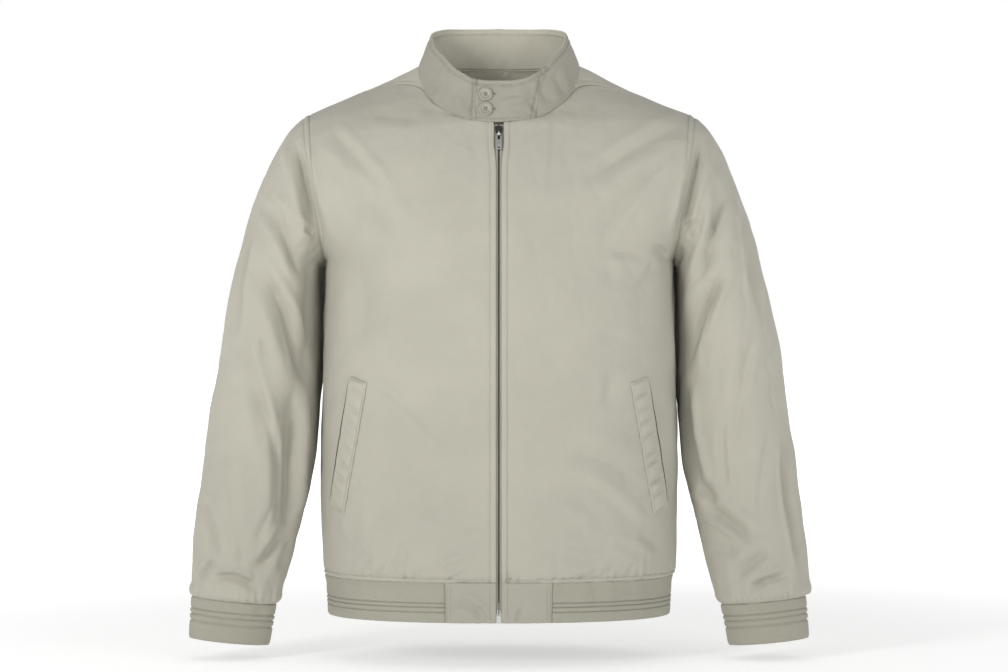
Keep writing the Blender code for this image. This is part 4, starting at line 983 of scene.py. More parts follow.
def buildSleeves():
    rings, angles = sleeveRings()[::-1], np.linspace(180, -180, 185)[:-1]
    for name, mirror in (("sleeve_left", False), ("sleeve_right", True)):
        grid, normals = tubeGrid(sleeveCurves, rings, angles, mirror)
        seams = [
            {"line": grid[-1], "dip": 0.0012, "dipWidth": 0.0026, "keep": 0.30, "calm": 0.0055,
             "gather": 0.00040, "gatherPitch": 0.012, "gatherLength": 0.010},
            {"line": grid[0], "dip": 0.0015, "dipWidth": 0.0024, "keep": 0.0, "calm": 0.008, "puff": 0.0030,
             "gather": 0.0010, "gatherPitch": 0.0068, "gatherLength": 0.009},
            {"line": grid[0], "dip": 0.0, "keep": 1.0,
             "gather": 0.0011, "gatherPitch": 0.0190, "gatherLength": 0.028},
            {"line": grid[:, 0], "dip": 0.0004, "dipWidth": 0.0018, "keep": 0.9},
        ]
        lift = clothLift(grid, normals, seams, 21 if mirror else 22, "sleeve", -1 if mirror else 1)
        # the inside of the arm rests against the body behind its widest line
        lift += leaning["sleeve"] * restingPart(grid, normals, 1 if mirror else -1)
        lift[:, -1] = lift[:, 0]
        makeCloth(name, grid, normals, lift, panelCloth, "cotton", weld=True)
    print("sleeves", len(pieces["sleeve_left"].data.polygons))


buildFronts()
buildBack()
buildSleeves()

# Ribs: waistband and cuffs, with their three lines, and the plain waist tabs.
ribSettings = {
    "cloth": 0.0026,
    "bandLines": (0.507, 0.609, 0.733),
    "cuffLines": (0.600, 0.685, 0.770),
    "lineDepth": 0.0016,
    "lineWidth": 0.00060,
    "puff": 0.0005,
}


def ribLift(shares, lines, length):
    # grooves at the lines, and each part between them a little puffed
    places = [0.0, *lines, 1.0]
    lift = np.zeros_like(shares)
    for low, high in zip(places, places[1:]):
        inside = np.clip((shares - low) / (high - low), 0, 1)
        lift += ribSettings["puff"] * (1 - np.abs(2 * inside - 1) ** 4) * (shares >= low) * (shares <= high)
    for line in lines:
        lift -= ribSettings["lineDepth"] * hump((shares - line) * length, ribSettings["lineWidth"])
    return lift


def ribRows(lines, length, first):
    # rows down a rib, finer at its lines
    places = list(np.linspace(first, 1, 30))
    for line in lines:
        places += list(line + np.linspace(-0.0022, 0.0022, 11) / length)
    places = np.unique(np.round(places, 5))
    return places[np.concatenate([[True], np.diff(places) > 0.0002 / length])]


def tabShare():
    # the share of the front's width that the waist tab takes
    waist, end = jacketForm["waistZ"], jacketForm["tabEndX"]
    return halved(lambda share: levelRow(bodyCurves, "front", waist, np.array([share]))[0, 0] < end)


def buildBands():
    length = jacketForm["waistZ"] - jacketForm["hemZ"]
    downs = ribRows(ribSettings["bandLines"], length, -0.016)
    heights = jacketForm["waistZ"] - downs * length
    tab = tabShare()
    frontShares, backShares = np.linspace(tab - 0.0015, 1, 80), np.linspace(1, 0, 95)[1:]
    rows = []
    for height in heights[::-1]:
        front = levelRow(bandCurves, "front", height, frontShares)
        half = np.concatenate([front, levelRow(bandCurves, "back", height, backShares)])
        rows.append(np.concatenate([half, half[::-1][1:] * np.array((-1, 1, 1))]))
    grid = np.array(rows)
    normals = gridNormals(grid)
    shares = downs[::-1, None] + np.zeros((1, grid.shape[1]))
    lift = ribLift(shares, ribSettings["bandLines"], length)
    run = seamReach(grid, grid[-1])[1]
    lift += 0.0007 * waver(run, 0.030, 31) * softStep(1 - shares, 0.1, 0.6)
    lift += 0.0004 * waver(run, 0.011, 32) * np.exp(-shares * 9)
    cloth = ribSettings["cloth"] * roundedEdges(grid, [grid[0], grid[-1]], 0.0014)
    makeCloth("waistband_rib", grid, normals, lift, cloth, "rib")
    tabShares = np.linspace(0, tab - 0.001, 46)
    for name, mirror in (("waist_tab_left", False), ("waist_tab_right", True)):
        grid = np.array([levelRow(bandCurves, "front", height, tabShares) for height in heights[::-1]])
        if mirror:
            grid = mirrorGrid(grid)
        normals = gridNormals(grid)
        lift = 0.0005 * drift(grid, 0.030, 33) + foldHeights(grid, normals, foldTable)
        cloth = ribSettings["cloth"] * roundedEdges(grid, allBorders(grid), 0.0014)
        # the tabs' cotton is darkened a little: painted shade
        makeCloth(name, grid, normals, lift, cloth, "cotton", finish="waist_tab")


def buildCuffs():
    downs, angles = ribRows(ribSettings["cuffLines"], 0.048, -0.012), np.linspace(180, -180, 137)[:-1]
    for name, mirror in (("cuff_left", False), ("cuff_right", True)):
        grid, normals = tubeGrid(cuffCurves, (2 * downs)[::-1], angles, mirror)
        length = np.linalg.norm(grid[-1, 0] - grid[0, 0])
        shares = downs[::-1, None] + np.zeros((1, grid.shape[1]))
        run = seamReach(grid, grid[-1])[1]
        lift = ribLift(shares, ribSettings["cuffLines"], length)
        lift += 0.0006 * waver(run, 0.026, 35 + mirror) * softStep(1 - shares, 0.1, 0.6)
        lift[:, -1] = lift[:, 0]
        cloth = ribSettings["cloth"] * roundedEdges(grid, [grid[0], grid[-1]], 0.0014)
        makeCloth(name, grid, normals, lift, cloth, "rib", weld=True)
    print("ribs made")


buildBands()
buildCuffs()

# Collar: the stand, the buttoned tab that laps over its right end, and the facing inside the neck.
collarSettings = {
    "cloth": 0.0030,
    "lap": 0.0036,
    "tabEnd": (-18.6, -14.4),
    "tabSeam": (26.6, 33.5),
    "rows": 44,
}


def collarGrid(footTurns, topTurns):
    # rows from the neckline up
    feet, tops = neckPoints(footTurns), collarTops(topTurns)
    ups = np.linspace(-0.012, 1, collarSettings["rows"])[:, None, None]
    return feet + (tops - feet) * ups


# in the same columns as foldTable
collarFolds = (
    ("front", (
        (-23.2, -6, -34.2, -66, 0, 2.4, 2.6), (-50, -25, -34, -55.5, 2, 5.5, 2.2),
        (-72, -13, -52, -45, 2, 9, 1.8), (-88, -8, -74, -30, 2, 7, 1.4),
        (1, -40, 27, -35, 1.2, 3.6, 1.5), (0, -27, 23, -25, 1.4, 4, 1),
        (12, -54, 33, -50, -1, 3.6, 1), (47, -13, 57, -43, -2, 5, 2.2),
        (35, -44, 46, -58, 1, 3.8, 1.7), (64, -6, 78, -33, -2, 7, 1.6),
        (85, -6, 90, -24, 1, 5, 1.2),
    )),
    ("back", (
        (-50, -4, -30, -30, 2, 8, 1.2), (56, -2, 35, -28, -2, 8, 1.2),
    )),
)


def collarLift(grid, seed, stitches):
    lift = 0.0009 * drift(grid, 0.045, seed) + 0.0003 * drift(grid, 0.014, seed + 1)
    lift += foldHeights(grid, gridNormals(grid), collarFolds)
    for line, place in stitches:
        reach, along = seamReach(grid, line)
        lift -= 0.00135 * hump(reach - place, 0.0012)
        lift += 0.00030 * waver(along, 0.0075, seed + 2) * hump(reach - place, 0.005)
    return lift


def buildCollar():
    cloth = collarSettings["cloth"]
    # from the wearer's right end round the back to the tab's seam
    ends = []
    for seamTurn in collarSettings["tabSeam"]:
        turns = np.concatenate([
            np.linspace(-firstTurn, -60, 50), np.linspace(-60, -300, 150)[1:],
            np.linspace(-300, seamTurn - 360, 34)[1:]])
        ends.append(np.where(turns < -180, turns + 360, turns))
    grid = collarGrid(*ends)[:, ::-1]
    normals = gridNormals(grid)
    lift = collarLift(grid, 41, [(grid[-1], stitchPlaces["collarTop"])])
    shell = cloth * roundedEdges(grid, [grid[-1]], 0.0018)
    # the stand's cotton is darkened: painted shade
    makeCloth("collar_stand", grid, normals, lift, shell, "cotton", finish="collar")
    # its inside shows lighter
    stand = pieces["collar_stand"].data
    stand.materials.append(finishes["collar_inside"])
    for face in stand.polygons:
        face.material_index = int(face.normal.dot(Vector((face.center.x, face.center.y + 0.008, 0))) < 0)
    print("collar", len(pieces["collar_stand"].data.polygons))


def buildTab():
    ends = list(zip(collarSettings["tabEnd"], collarSettings["tabSeam"]))
    turns = np.linspace(*ends[0], 110)
    grid = collarGrid(turns, np.linspace(*ends[1], 110))
    normals = gridNormals(grid)
    up = unit(grid[-1:] - grid[:1])
    lap = softStep(-turns, -ends[0][1], -2.0)
    # the lapping part reaches a little over the neck seam
    ups = np.linspace(0, 1, len(grid))[:, None]
    grid = grid - up * (0.0016 * lap[None, :] * (1 - ups) ** 3)[..., None]
    lift = collarSettings["lap"] * lap[None, :] + collarLift(grid, 45, [
        (grid[-1], stitchPlaces["collarTop"]), (grid[:, 0], stitchPlaces["collarEnd"]),
        (grid[0], stitchPlaces["collarFoot"]), (grid[:, -1], stitchPlaces["collarSeam"])])
    cloth = collarSettings["cloth"] * roundedEdges(grid, allBorders(grid), 0.0012)
    # the tab takes the same darkened cotton: painted shade
    makeCloth("collar_tab", grid, normals, lift, cloth, "cotton", finish="collar")


def buildFacing():
    # inside the back of the neck, a little in from the back's own cloth and its folds
    neck = importantRows("back")[1]
    rows = slice(neck - 22, bodyGrids["back"].shape[0] - 3)
    parts = []
    for side, sign in (("left", 1), ("right", -1)):
        half = skins["back_" + side][rows, :28]
        normals = gridNormals(half) * -sign
        normals[:23, 0, 0] = 0
        normals = unit(normals)
        lift = np.full(half.shape[:2], -panelCloth - 0.0008)
        lift -= 0.0009 * hump(half[..., 0] + 0.0202, 0.0015)
        parts.append(clothShell("facing_" + side, half, normals, lift, 0.0011, flip=sign > 0, wallFrom=22)[0])
    pieces["back_facing"] = joinPieces(parts, "back_facing_cloth", weldReach)
    finishPiece(pieces["back_facing"], "jacket", "cotton_inside", "back_facing")


buildCollar()
buildTab()
buildFacing()

# Pocket welts.
weltSettings = {
    "innerTop": (0.1525, -0.3715), "innerFoot": (0.1805, -0.5260),
    "outerTop": (0.1722, -0.3642), "outerFoot": (0.1968, -0.5175),
    # the mouth values are the width and thickness of the strip of painted shade along the welt's free edge
    "cloth": 0.0016, "rise": 0.0034, "mouth": 0.0013, "shadeStripCloth": 0.0004,
    "puckers": 9, "puckerSlant": 0.32, "puckerWidth": 0.17, "puckerDepth": 0.0034,
}


def treeOf(*names):
    corners, faces, count = [], [], 0
    for name in names:
        skin = skins[name]
        rows, columns = skin.shape[:2]
        faces.append(gridQuads(rows, columns) + count)
        corners.append(skin.reshape(-1, 3))
        count += rows * columns
    return BVHTree.FromPolygons(np.concatenate(corners).tolist(), np.concatenate(faces).tolist())


def frontHit(tree, x, z):
    # where a ray from the front meets a surface, and the normal there
    return tree.ray_cast(Vector((x, -1, z)), Vector((0, 1, 0)))[:2]


def buildWelts():
    settings = weltSettings
    corners = {key: np.array(value) for key, value in settings.items() if isinstance(value, tuple)}
    ups, acrosses = np.linspace(0, 1, 110), np.linspace(0, 1, 24)
    for name, sign, seed in (("pocket_welt_left", 1, 61), ("pocket_welt_right", -1, 62)):
        tree = treeOf("front_left" if sign > 0 else "front_right")
        chance = np.random.default_rng(seed)
        grid = np.empty((len(ups), len(acrosses), 3))
        for row, up in enumerate(ups):
            foot = corners["innerFoot"] + (corners["outerFoot"] - corners["innerFoot"]) * acrosses[:, None]
            head = corners["innerTop"] + (corners["outerTop"] - corners["innerTop"]) * acrosses[:, None]
            for column, (x, z) in enumerate(foot + (head - foot) * up):
                grid[row, column] = frontHit(tree, sign * x, z)[0]
        # the cloth under the welt, smoothed so that the welt bridges its small waves
        for _ in range(6):
            grid[1:-1] = (grid[:-2] + 2 * grid[1:-1] + grid[2:]) / 4
        across = acrosses[None, :] + np.zeros((len(ups), 1))
        if sign < 0:
            grid, across = grid[:, ::-1], across[:, ::-1]
        normals = gridNormals(grid)
        puff = 0.0005 + settings["rise"] * np.sin(across ** 0.8 * math.pi * 0.80) ** 0.8
        slant = ups[:, None] * settings["puckers"] - across * settings["puckerSlant"]
        wave = np.zeros_like(puff)
        for k in range(settings["puckers"] + 2):
            place = k + chance.uniform(-0.22, 0.22)
            wave -= chance.uniform(0.5, 1.1) * hump(slant - place, settings["puckerWidth"])
        ends = softStep(ups, 0, 0.03) * softStep(-ups, -1, -0.97)
        calm = np.sin(np.clip(across * 1.08 - 0.02, 0, 1) * math.pi) ** 0.7
        lift = puff * (0.35 + 0.65 * ends[:, None]) + settings["puckerDepth"] * wave * calm
        cloth = settings["cloth"] * roundedEdges(grid, allBorders(grid), 0.0010)
        welt, skins[name] = clothShell(name + "_cloth", grid, normals, lift, cloth)
        # the pocket's mouth: a strip of near-black painted shade along the welt's free edge, standing for the
        # shadow inside the opening
        edge = skins[name][3:-4, -1 if sign > 0 else 0]
        wide = settings["mouth"] * np.sin(np.linspace(0.10, 1, len(edge)) * math.pi * 0.93)
        outwards = np.linspace(-0.0012, 1, 4)[None, :, None] * wide[:, None, None] * np.array((sign, 0, 0))
        line = edge[:, None] + outwards
        for point in line.reshape(-1, 3):
            point[:] = frontHit(tree, point[0], point[2])[0] + Vector((0, -0.00012, 0))
        line = line[:, ::sign]
        level = np.zeros(line.shape[:2])
        mouth = clothShell(name + "_mouth", line, gridNormals(line), level, settings["shadeStripCloth"])[0]
        welt.data.materials.append(finishes["cotton"])
        mouth.data.materials.append(finishes["pocket_mouth"])
        pieces[name] = joinPieces([welt, mouth], name + "_cloth")
        finishPiece(pieces[name], "jacket", "cotton", name)
    print("welts made")


buildWelts()

# Zip: tapes, teeth, slider, pull and the box at its foot.
zipSettings = {
    "hinge": (0.0, -0.09579, -0.08183),
    "sliderZ": -0.0795,
    "tapeInner": 0.0007, "tapeOuter": 0.0135, "tapeCloth": 0.0010, "tapeDepth": 0.0018,
    "cord": 0.0003, "cordPlace": 0.0016, "cordWidth": 0.0007,
    "toothPitch": 0.0021, "toothSize": (0.0012, 0.0013, 0.0016), "toothBevel": 0.00022,
    "toothAside": 0.00042, "toothDepth": 0.0014, "parting": 0.0016,
    "plate": 0.0014,
    "box": (0.0056, 0.0090, 0.0032),
}
# outlines of the metal parts before their corners are rounded
zipOutlines = {
    "slider": ((-0.0039, 0.0070), (0.0039, 0.0070), (0.0040, 0.0022), (0.0029, -0.0020), (0.0030, -0.0070),
               (-0.0030, -0.0070), (-0.0029, -0.0020), (-0.0040, 0.0022)),
    "rail": ((-0.0039, 0.0060), (-0.0033, 0.0060), (-0.0024, -0.0020), (-0.0025, -0.0064), (-0.0031, -0.0064),
             (-0.0030, -0.0020)),
    "pull": ((-0.0027, 0.0007), (0.0027, 0.0007), (0.0027, -0.0032), (0.0033, -0.0042), (0.0034, -0.0205),
             (-0.0034, -0.0205), (-0.0033, -0.0042), (-0.0027, -0.0032)),
    "slot": ((-0.0018, -0.0007), (0.0018, -0.0007), (0.0019, -0.0078), (-0.0019, -0.0078)),
}


def zipPath():
    # the middle of the front edges' cloth, from the hem to the neck
    neck = importantRows("front")[1]
    heights = np.linspace(jacketForm["hemZ"], jacketForm["waistZ"], 16)[:-1]
    low = np.array([levelRow(bandCurves, "front", z, np.array([0.0]))[0] for z in heights])
    edge = np.concatenate([low, bodyGrids["front"][: neck + 1, 0]])
    path = evenLine(edge * np.array((0, 1, 1)), 0.0021)
    ups = unit(np.gradient(path, axis=0))
    return path, ups, np.cross((1, 0, 0), ups)


def placedCopies(template, places):
    # many copies of one small mesh in one: each place is (origin, across, up, out)
    corners, faces = template
    points, allFaces = [], []
    for number, (origin, across, up, out) in enumerate(places):
        points.append(origin + corners @ np.array([across, up, out]))
        allFaces.append(faces + number * len(corners))
    return np.concatenate(points), np.concatenate(allFaces)


def steadyOrder(points, faces):
    # the same mesh with its points and faces in an order that doesn't change from run to run
    points = [tuple(point) for point in points]
    order = sorted(range(len(points)), key=points.__getitem__)
    rank = {old: new for new, old in enumerate(order)}
    loops = []
    for face in faces:
        loop = [rank[index] for index in face]
        first = loop.index(min(loop))
        loops.append(loop[first:] + loop[:first])
    return [points[index] for index in order], sorted(loops)


def bevelledBox(size, bevel):
    mesh = bmesh.new()
    bmesh.ops.create_cube(mesh, size=1.0)
    for vertex in mesh.verts:
        vertex.co = Vector([vertex.co[k] * size[k] for k in range(3)])
    bmesh.ops.bevel(mesh, geom=mesh.edges[:], offset=bevel, segments=1, affect="EDGES", profile=0.5)
    mesh.verts.index_update()
    corners = [vertex.co for vertex in mesh.verts]
    corners, loops = steadyOrder(corners, [[vertex.index for vertex in face.verts] for face in mesh.faces])
    mesh.free()
    faces = [(loop[0], *pair) for loop in loops for pair in zip(loop[1:], loop[2:])]
    return np.array(corners), np.array(faces)


def plateObject(name, outlines, thick, bevel, matrix):
    # a flat plate with holes and rounded edges: the first outline is the rim, the others holes
    curve = bpy.data.curves.new(name, "CURVE")
    curve.dimensions = "2D"
    curve.fill_mode = "BOTH"
    curve.extrude, curve.bevel_depth, curve.bevel_resolution = thick / 2 - bevel, bevel, 2
    for outline in outlines:
        spline = curve.splines.new("POLY")
        spline.points.add(len(outline) - 1)
        for point, (x, y) in zip(spline.points, outline):
            point.co = (x, y, 0, 1)
        spline.use_cyclic_u = True
    holder = placeObject(name, curve)
    mesh = bpy.data.meshes.new_from_object(holder)
    bpy.data.objects.remove(holder)
    mesh.transform(matrix)
    return placeObject(name, mesh)


def roundOutline(corners, radius, steps=5):
    # a polygon with its corners rounded
    corners = [np.array(corner, float) for corner in corners]
    outline = []
    for before, here, after in zip(corners[-1:] + corners[:-1], corners, corners[1:] + corners[:1]):
        back, ahead = unit(before - here), unit(after - here)
        reach = min(radius, np.linalg.norm(before - here) / 2, np.linalg.norm(after - here) / 2)
        for k in range(steps + 1):
            t = k / steps
            ends = (1 - t) ** 2 * (here + back * reach), t * t * (here + ahead * reach)
            outline.append(ends[0] + 2 * t * (1 - t) * here + ends[1])
    return outline


def frameMatrix(place, up, out):
    across = np.cross(up, out)
    matrix = Matrix([list(row) + [0] for row in np.stack([across, up, out], axis=1)] + [[0, 0, 0, 1]])
    matrix.translation = Vector(place)
    return matrix


def tubeFaces(rings, sides):
    # the sides and the two ends of a tube
    faces = []
    for i in range(rings - 1):
        for k in range(sides):
            n = (k + 1) % sides
            faces.append((i * sides + k, i * sides + n, (i + 1) * sides + n, (i + 1) * sides + k))
    last = (rings - 1) * sides
    return faces + [tuple(range(sides))[::-1], tuple(range(last, last + sides))]


def archObject(name, inner, thick, width, matrix):
    # a rounded half ring that bridges along y
    points, steps, sides = [], 20, 8
    for step in range(steps + 1):
        turn = math.pi * step / steps
        middle = inner + thick / 2
        for side in range(sides):
            angle = 2 * math.pi * (side + 0.5) / sides
            across = width / 2 * np.sign(math.cos(angle)) * abs(math.cos(angle)) ** 0.6
            off = thick / 2 * np.sign(math.sin(angle)) * abs(math.sin(angle)) ** 0.6
            sink = -0.0005 if step in (0, steps) else 0.0
            points.append((across, (middle + off) * math.cos(turn), (middle + off) * math.sin(turn) + sink))
    piece = meshObject(name, points, tubeFaces(steps + 1, sides))
    piece.data.transform(matrix)
    return piece


def boxOutline(halfWidth, top, foot, radius):
    return roundOutline([(-halfWidth, top), (halfWidth, top), (halfWidth, foot), (-halfWidth, foot)], radius)


def smoothEdges(piece, angle):
    piece.data.shade_smooth()
    piece.data.set_sharp_from_angle(angle=math.radians(angle))


def metalPiece(parts, name, body, node, dark=()):
    for part in parts:
        part.data.materials.clear()
        part.data.materials.append(finishes["zip_dark" if part.name.startswith(dark) else "zip_metal"])
    piece = joinPieces(parts, name)
    smoothEdges(piece, 35)
    finishPiece(piece, body, "zip_metal", node)


def buildTapes(path, run, boxTop):
    settings = zipSettings
    for name, sign in (("zip_tape_left", 1), ("zip_tape_right", -1)):
        rows = [i for i in range(len(path)) if run[i] > boxTop and run[-1] - run[i] > 0.004]
        places = np.linspace(settings["tapeInner"], settings["tapeOuter"], 9)[::sign] * sign
        grid = np.array([[path[i] + np.array((x, 0, 0)) for x in places] for i in rows])
        # a corded edge beside the teeth
        cord = settings["cord"] * hump(np.abs(grid[..., 0]) - settings["cordPlace"], settings["cordWidth"])
        lift = -settings["tapeDepth"] + cord
        makeCloth(name, grid, gridNormals(grid), lift, settings["tapeCloth"], "tape")


def buildTeeth(path, ups, outs, run, first, sliderRun):
    # the teeth of both tapes in turn; the two rows part at the slider
    settings = zipSettings
    across, pitch, places = np.array((1.0, 0, 0)), settings["toothPitch"] / 2, []
    for number in range(int((sliderRun + 0.004 - first) / pitch)):
        at = first + number * pitch
        i = int(np.searchsorted(run, at)) - 1
        parting = settings["parting"] * float(softStep(at, sliderRun - 0.004, sliderRun + 0.006))
        aside = (1 if number % 2 else -1) * (settings["toothAside"] + parting)
        spot = np.array([np.interp(at, run, path[:, k]) for k in range(3)])
        places.append((spot - outs[i] * settings["toothDepth"] + across * aside, across, ups[i], outs[i]))
    tooth = bevelledBox(settings["toothSize"], settings["toothBevel"])
    teeth = meshObject("zip_teeth", *placedCopies(tooth, places), smooth=False)
    finishPiece(teeth, "jacket", "zip_metal", finish="zip_teeth")
    print("teeth", len(places))


def buildSlider(matrix):
    # front and back plates, their rails, the stem between them and the bail
    settings = zipSettings
    depth, thick = settings["tapeDepth"], settings["plate"]
    plateGap = settings["tapeCloth"] / 2 + 0.0009
    frontZ, backZ = -depth + plateGap + thick / 2, -depth - plateGap - thick / 2
    parts = []

    def addPlate(name, outline, thick, bevel, height):
        parts.append(plateObject(name, [outline], thick, bevel, matrix @ Matrix.Translation((0, 0, height))))

    outline, rail = roundOutline(zipOutlines["slider"], 0.0016), roundOutline(zipOutlines["rail"], 0.0002)
    addPlate("slider_front", outline, thick, 0.00035, frontZ)
    addPlate("slider_back", outline, thick, 0.00035, backZ)
    for sign in (1, -1):
        addPlate("slider_rail", [(x * sign, y) for x, y in rail], 0.0007, 0.0001, frontZ - thick / 2 - 0.0002)
    stem = boxOutline(0.0004, 0.0070, 0.0022, 0.0002)
    addPlate("slider_stem", stem, frontZ - backZ, 0.00005, (frontZ + backZ) / 2)
    bailPlace = matrix @ Matrix.Translation((0, -0.0035, frontZ + thick / 2))
    parts.append(archObject("slider_bail", 0.0022, 0.0011, 0.0017, bailPlace))
    # the plates and stem take the near-black copy of the metal, painted shade on the slider's body; the rails
    # and bail stay bright
    dark = ("slider_front", "slider_back", "slider_stem")
    metalPiece(parts, "zip_slider_metal", "jacket", "zip_slider", dark)


def buildPull(hinge):
    # it hangs from its bar under the bail
    rim, slot = roundOutline(zipOutlines["pull"], 0.0010), roundOutline(zipOutlines["slot"], 0.0005)
    hole, panel = boxOutline(0.0015, -0.0171, -0.0195, 0.0007), boxOutline(0.0023, -0.0093, -0.0158, 0.0006)
    parts = [plateObject("pull_plate", [rim, slot, hole], 0.0013, 0.0003, hinge),
             plateObject("pull_panel", [panel], 0.0017, 0.0003, hinge)]
    bar, radius = bmesh.new(), 0.0007
    bmesh.ops.create_cone(bar, cap_ends=True, segments=16, radius1=radius, radius2=radius, depth=0.0050)
    bmesh.ops.rotate(bar, verts=bar.verts, matrix=Matrix.Rotation(math.pi / 2, 3, "Y"))
    data = meshFrom(bar, "pull_bar")
    data.transform(hinge)
    parts.append(placeObject("pull_bar", data))
    metalPiece(parts, "zip_pull_metal", "pull_tab", "zip_pull")


def buildBox(foot):
    # the box at the zip's foot and its two pins
    wide, tall, deep = zipSettings["box"]
    high, low = tall / 2 + 0.0060, tall / 2 - 0.001
    parts = [plateObject("box_body", [boxOutline(wide / 2, tall / 2, -tall / 2, 0.0009)], deep, 0.0004, foot)]
    for sign in (-1, 1):
        far, near = sign * 0.0021, sign * 0.0008
        pin = roundOutline([(far, high), (near, high), (near, low), (far, low)], 0.0003)
        parts.append(plateObject("box_pin", [pin], 0.0020, 0.0003, foot))
    metalPiece(parts, "zip_box_metal", "jacket", "zip_box")


def buildZip():
    path, ups, outs = zipPath()
    run = lengthsAlong(path)
    tall = zipSettings["box"][1]
    boxTop = tall + 0.0006
    slider = int(np.argmin(np.abs(path[:, 2] - zipSettings["sliderZ"])))
    buildTapes(path, run, boxTop)
    buildTeeth(path, ups, outs, run, boxTop + 0.0010, run[slider])
    buildSlider(frameMatrix(path[slider], ups[slider], outs[slider]))
    buildPull(frameMatrix(zipSettings["hinge"], ups[slider], outs[slider]))
    middle = path[0] + ups[2] * tall / 2 - outs[2] * zipSettings["tapeDepth"]
    buildBox(frameMatrix(middle, ups[2], outs[2]))


buildZip()

# Collar buttons and their buttonholes.
buttonSettings = {
    "spots": {"button_upper": (-0.0152, -0.0345), "button_lower": (-0.0152, -0.0520)},
    "profile": (
        (0.0, 0.0004), (0.0062, 0.0004), (0.0077, 0.0010), (0.0080, 0.0017), (0.0079, 0.0024),
        (0.0073, 0.0030), (0.0065, 0.0031), (0.0059, 0.0027), (0.0054, 0.0017), (0.0048, 0.0014),
        (0.0, 0.0014)),
    "holeX": 0.001054, "holeY": 0.00136, "holeRadius": 0.00085, "stand": 0.0006,
}


def tubeMesh(path, radius, sides=7):
    # a thread along a path, thinner at its ends
    path = np.asarray(path, float)
    run = unit(np.gradient(path, axis=0))
    side = np.cross(run, (0.0, 0.3, 1.0))
    side = unit(np.where(np.linalg.norm(side, axis=1, keepdims=True) < 1e-6, np.array((1.0, 0, 0)), side))
    other = np.cross(run, side)
    turns = np.linspace(0, 2 * math.pi, sides + 1)[:-1]
    size = np.full(len(path), radius)
    size[0] = size[-1] = radius * 0.45
    around = np.cos(turns)[None, :, None] * side[:, None] + np.sin(turns)[None, :, None] * other[:, None]
    rings = path[:, None] + size[:, None, None] * around
    return rings.reshape(-1, 3), tubeFaces(len(path), sides)


def joinedTubes(name, tubes):
    points, faces, count = [], [], 0
    for corners, quads in tubes:
        points.append(corners)
        faces += [tuple(index + count for index in face) for face in quads]
        count += len(corners)
    return meshObject(name, np.concatenate(points), faces)


def buttonMesh(name):
    # a turned profile with four drilled holes
    settings = buttonSettings
    turned = bmesh.new()
    line = [turned.verts.new((radius, 0, height)) for radius, height in settings["profile"]]
    edges = [turned.edges.new(pair) for pair in zip(line, line[1:])]
    bmesh.ops.spin(turned, geom=line + edges, cent=(0, 0, 0), axis=(0, 0, 1), angle=2 * math.pi, steps=48,
                   use_merge=True)
    bmesh.ops.remove_doubles(turned, verts=turned.verts, dist=1e-6)
    bmesh.ops.recalc_face_normals(turned, faces=turned.faces)
    blank = placeObject(name + "_blank", meshFrom(turned, name))
    drill, radius = bmesh.new(), settings["holeRadius"]
    for x in (-settings["holeX"], settings["holeX"]):
        for y in (-settings["holeY"], settings["holeY"]):
            place = Matrix.Translation((x, y, 0.001))
            bmesh.ops.create_cone(drill, cap_ends=True, segments=14, radius1=radius, radius2=radius,
                                  depth=0.01, matrix=place)
    cutter = placeObject("drill", meshFrom(drill, "drill"))
    cut = blank.modifiers.new("holes", "BOOLEAN")
    cut.object, cut.operation = cutter, "DIFFERENCE"
    bpy.context.view_layer.update()
    made = bpy.data.meshes.new_from_object(blank.evaluated_get(bpy.context.evaluated_depsgraph_get()))
    bpy.data.objects.remove(cutter)
    bpy.data.objects.remove(blank)
    return steadyOrder([vertex.co for vertex in made.vertices], [list(face.vertices) for face in made.polygons])


def buildButtons():
    tree = treeOf("collar_tab")
    settings, threads = buttonSettings, []
    reach = settings["holeY"]
    stitch = [(-reach, 0.0009), (-reach, 0.0018), (-reach * 0.6, 0.0021)]
    stitch += [(-y, height) for y, height in stitch[::-1]]
    for name, (x, z) in settings["spots"].items():
        spot, normal = frontHit(tree, x, z)
        turn = Vector((0, 0, 1)).rotation_difference(normal)
        matrix = Matrix.Translation(spot + normal * settings["stand"]) @ turn.to_matrix().to_4x4()
        button = meshObject(name + "_horn", *buttonMesh(name))
        button.data.transform(matrix)
        smoothEdges(button, 40)
        finishPiece(button, "jacket", "button", name)
        for dx in (-1, 1):
            for k in range(2):
                off = dx * settings["holeX"] + (k - 0.5) * 0.00035
                threads.append(tubeMesh([matrix @ Vector((off, y, height)) for y, height in stitch], 0.00022))
        # the buttonhole's end shows beyond the button
        for k in range(7):
            along = x + 0.0086 + k * 0.00055
            ends = []
            for rise in (-0.0010, -0.0004, 0.0004, 0.0010):
                place, out = frontHit(tree, along, z + rise)
                ends.append(place + out * (0.0001 + 0.00025 * (abs(rise) < 0.0006)))
            threads.append(tubeMesh(ends, 0.00024))
    piece = joinedTubes("button_thread", threads)
    finishPiece(piece, "jacket", "cotton", finish="thread")
    print("buttons made")


buildButtons()

# Topstitching: a short thread for every stitch, laid on the finished cloth.
stitchSettings = {"pitch": 0.0031, "length": 0.0024, "radius": 0.00024, "rise": 0.00008}


def insetPath(skin, border, distance, span):
    # a line on a surface at a distance from one of its borders, with its normals
    grid, normals = skin, gridNormals(skin)
    if border.endswith("Row"):
        grid, normals = grid.transpose(1, 0, 2), normals.transpose(1, 0, 2)
    if border.startswith("last"):
        grid, normals = grid[:, ::-1], normals[:, ::-1]
    points, outs = [], []
    for row, out in zip(grid[span], normals[span]):
        run = lengthsAlong(row[:60])
        points.append([np.interp(distance, run, row[:60, k]) for k in range(3)])
        outs.append([np.interp(distance, run, out[:60, k]) for k in range(3)])
    return np.array(points), unit(np.array(outs))


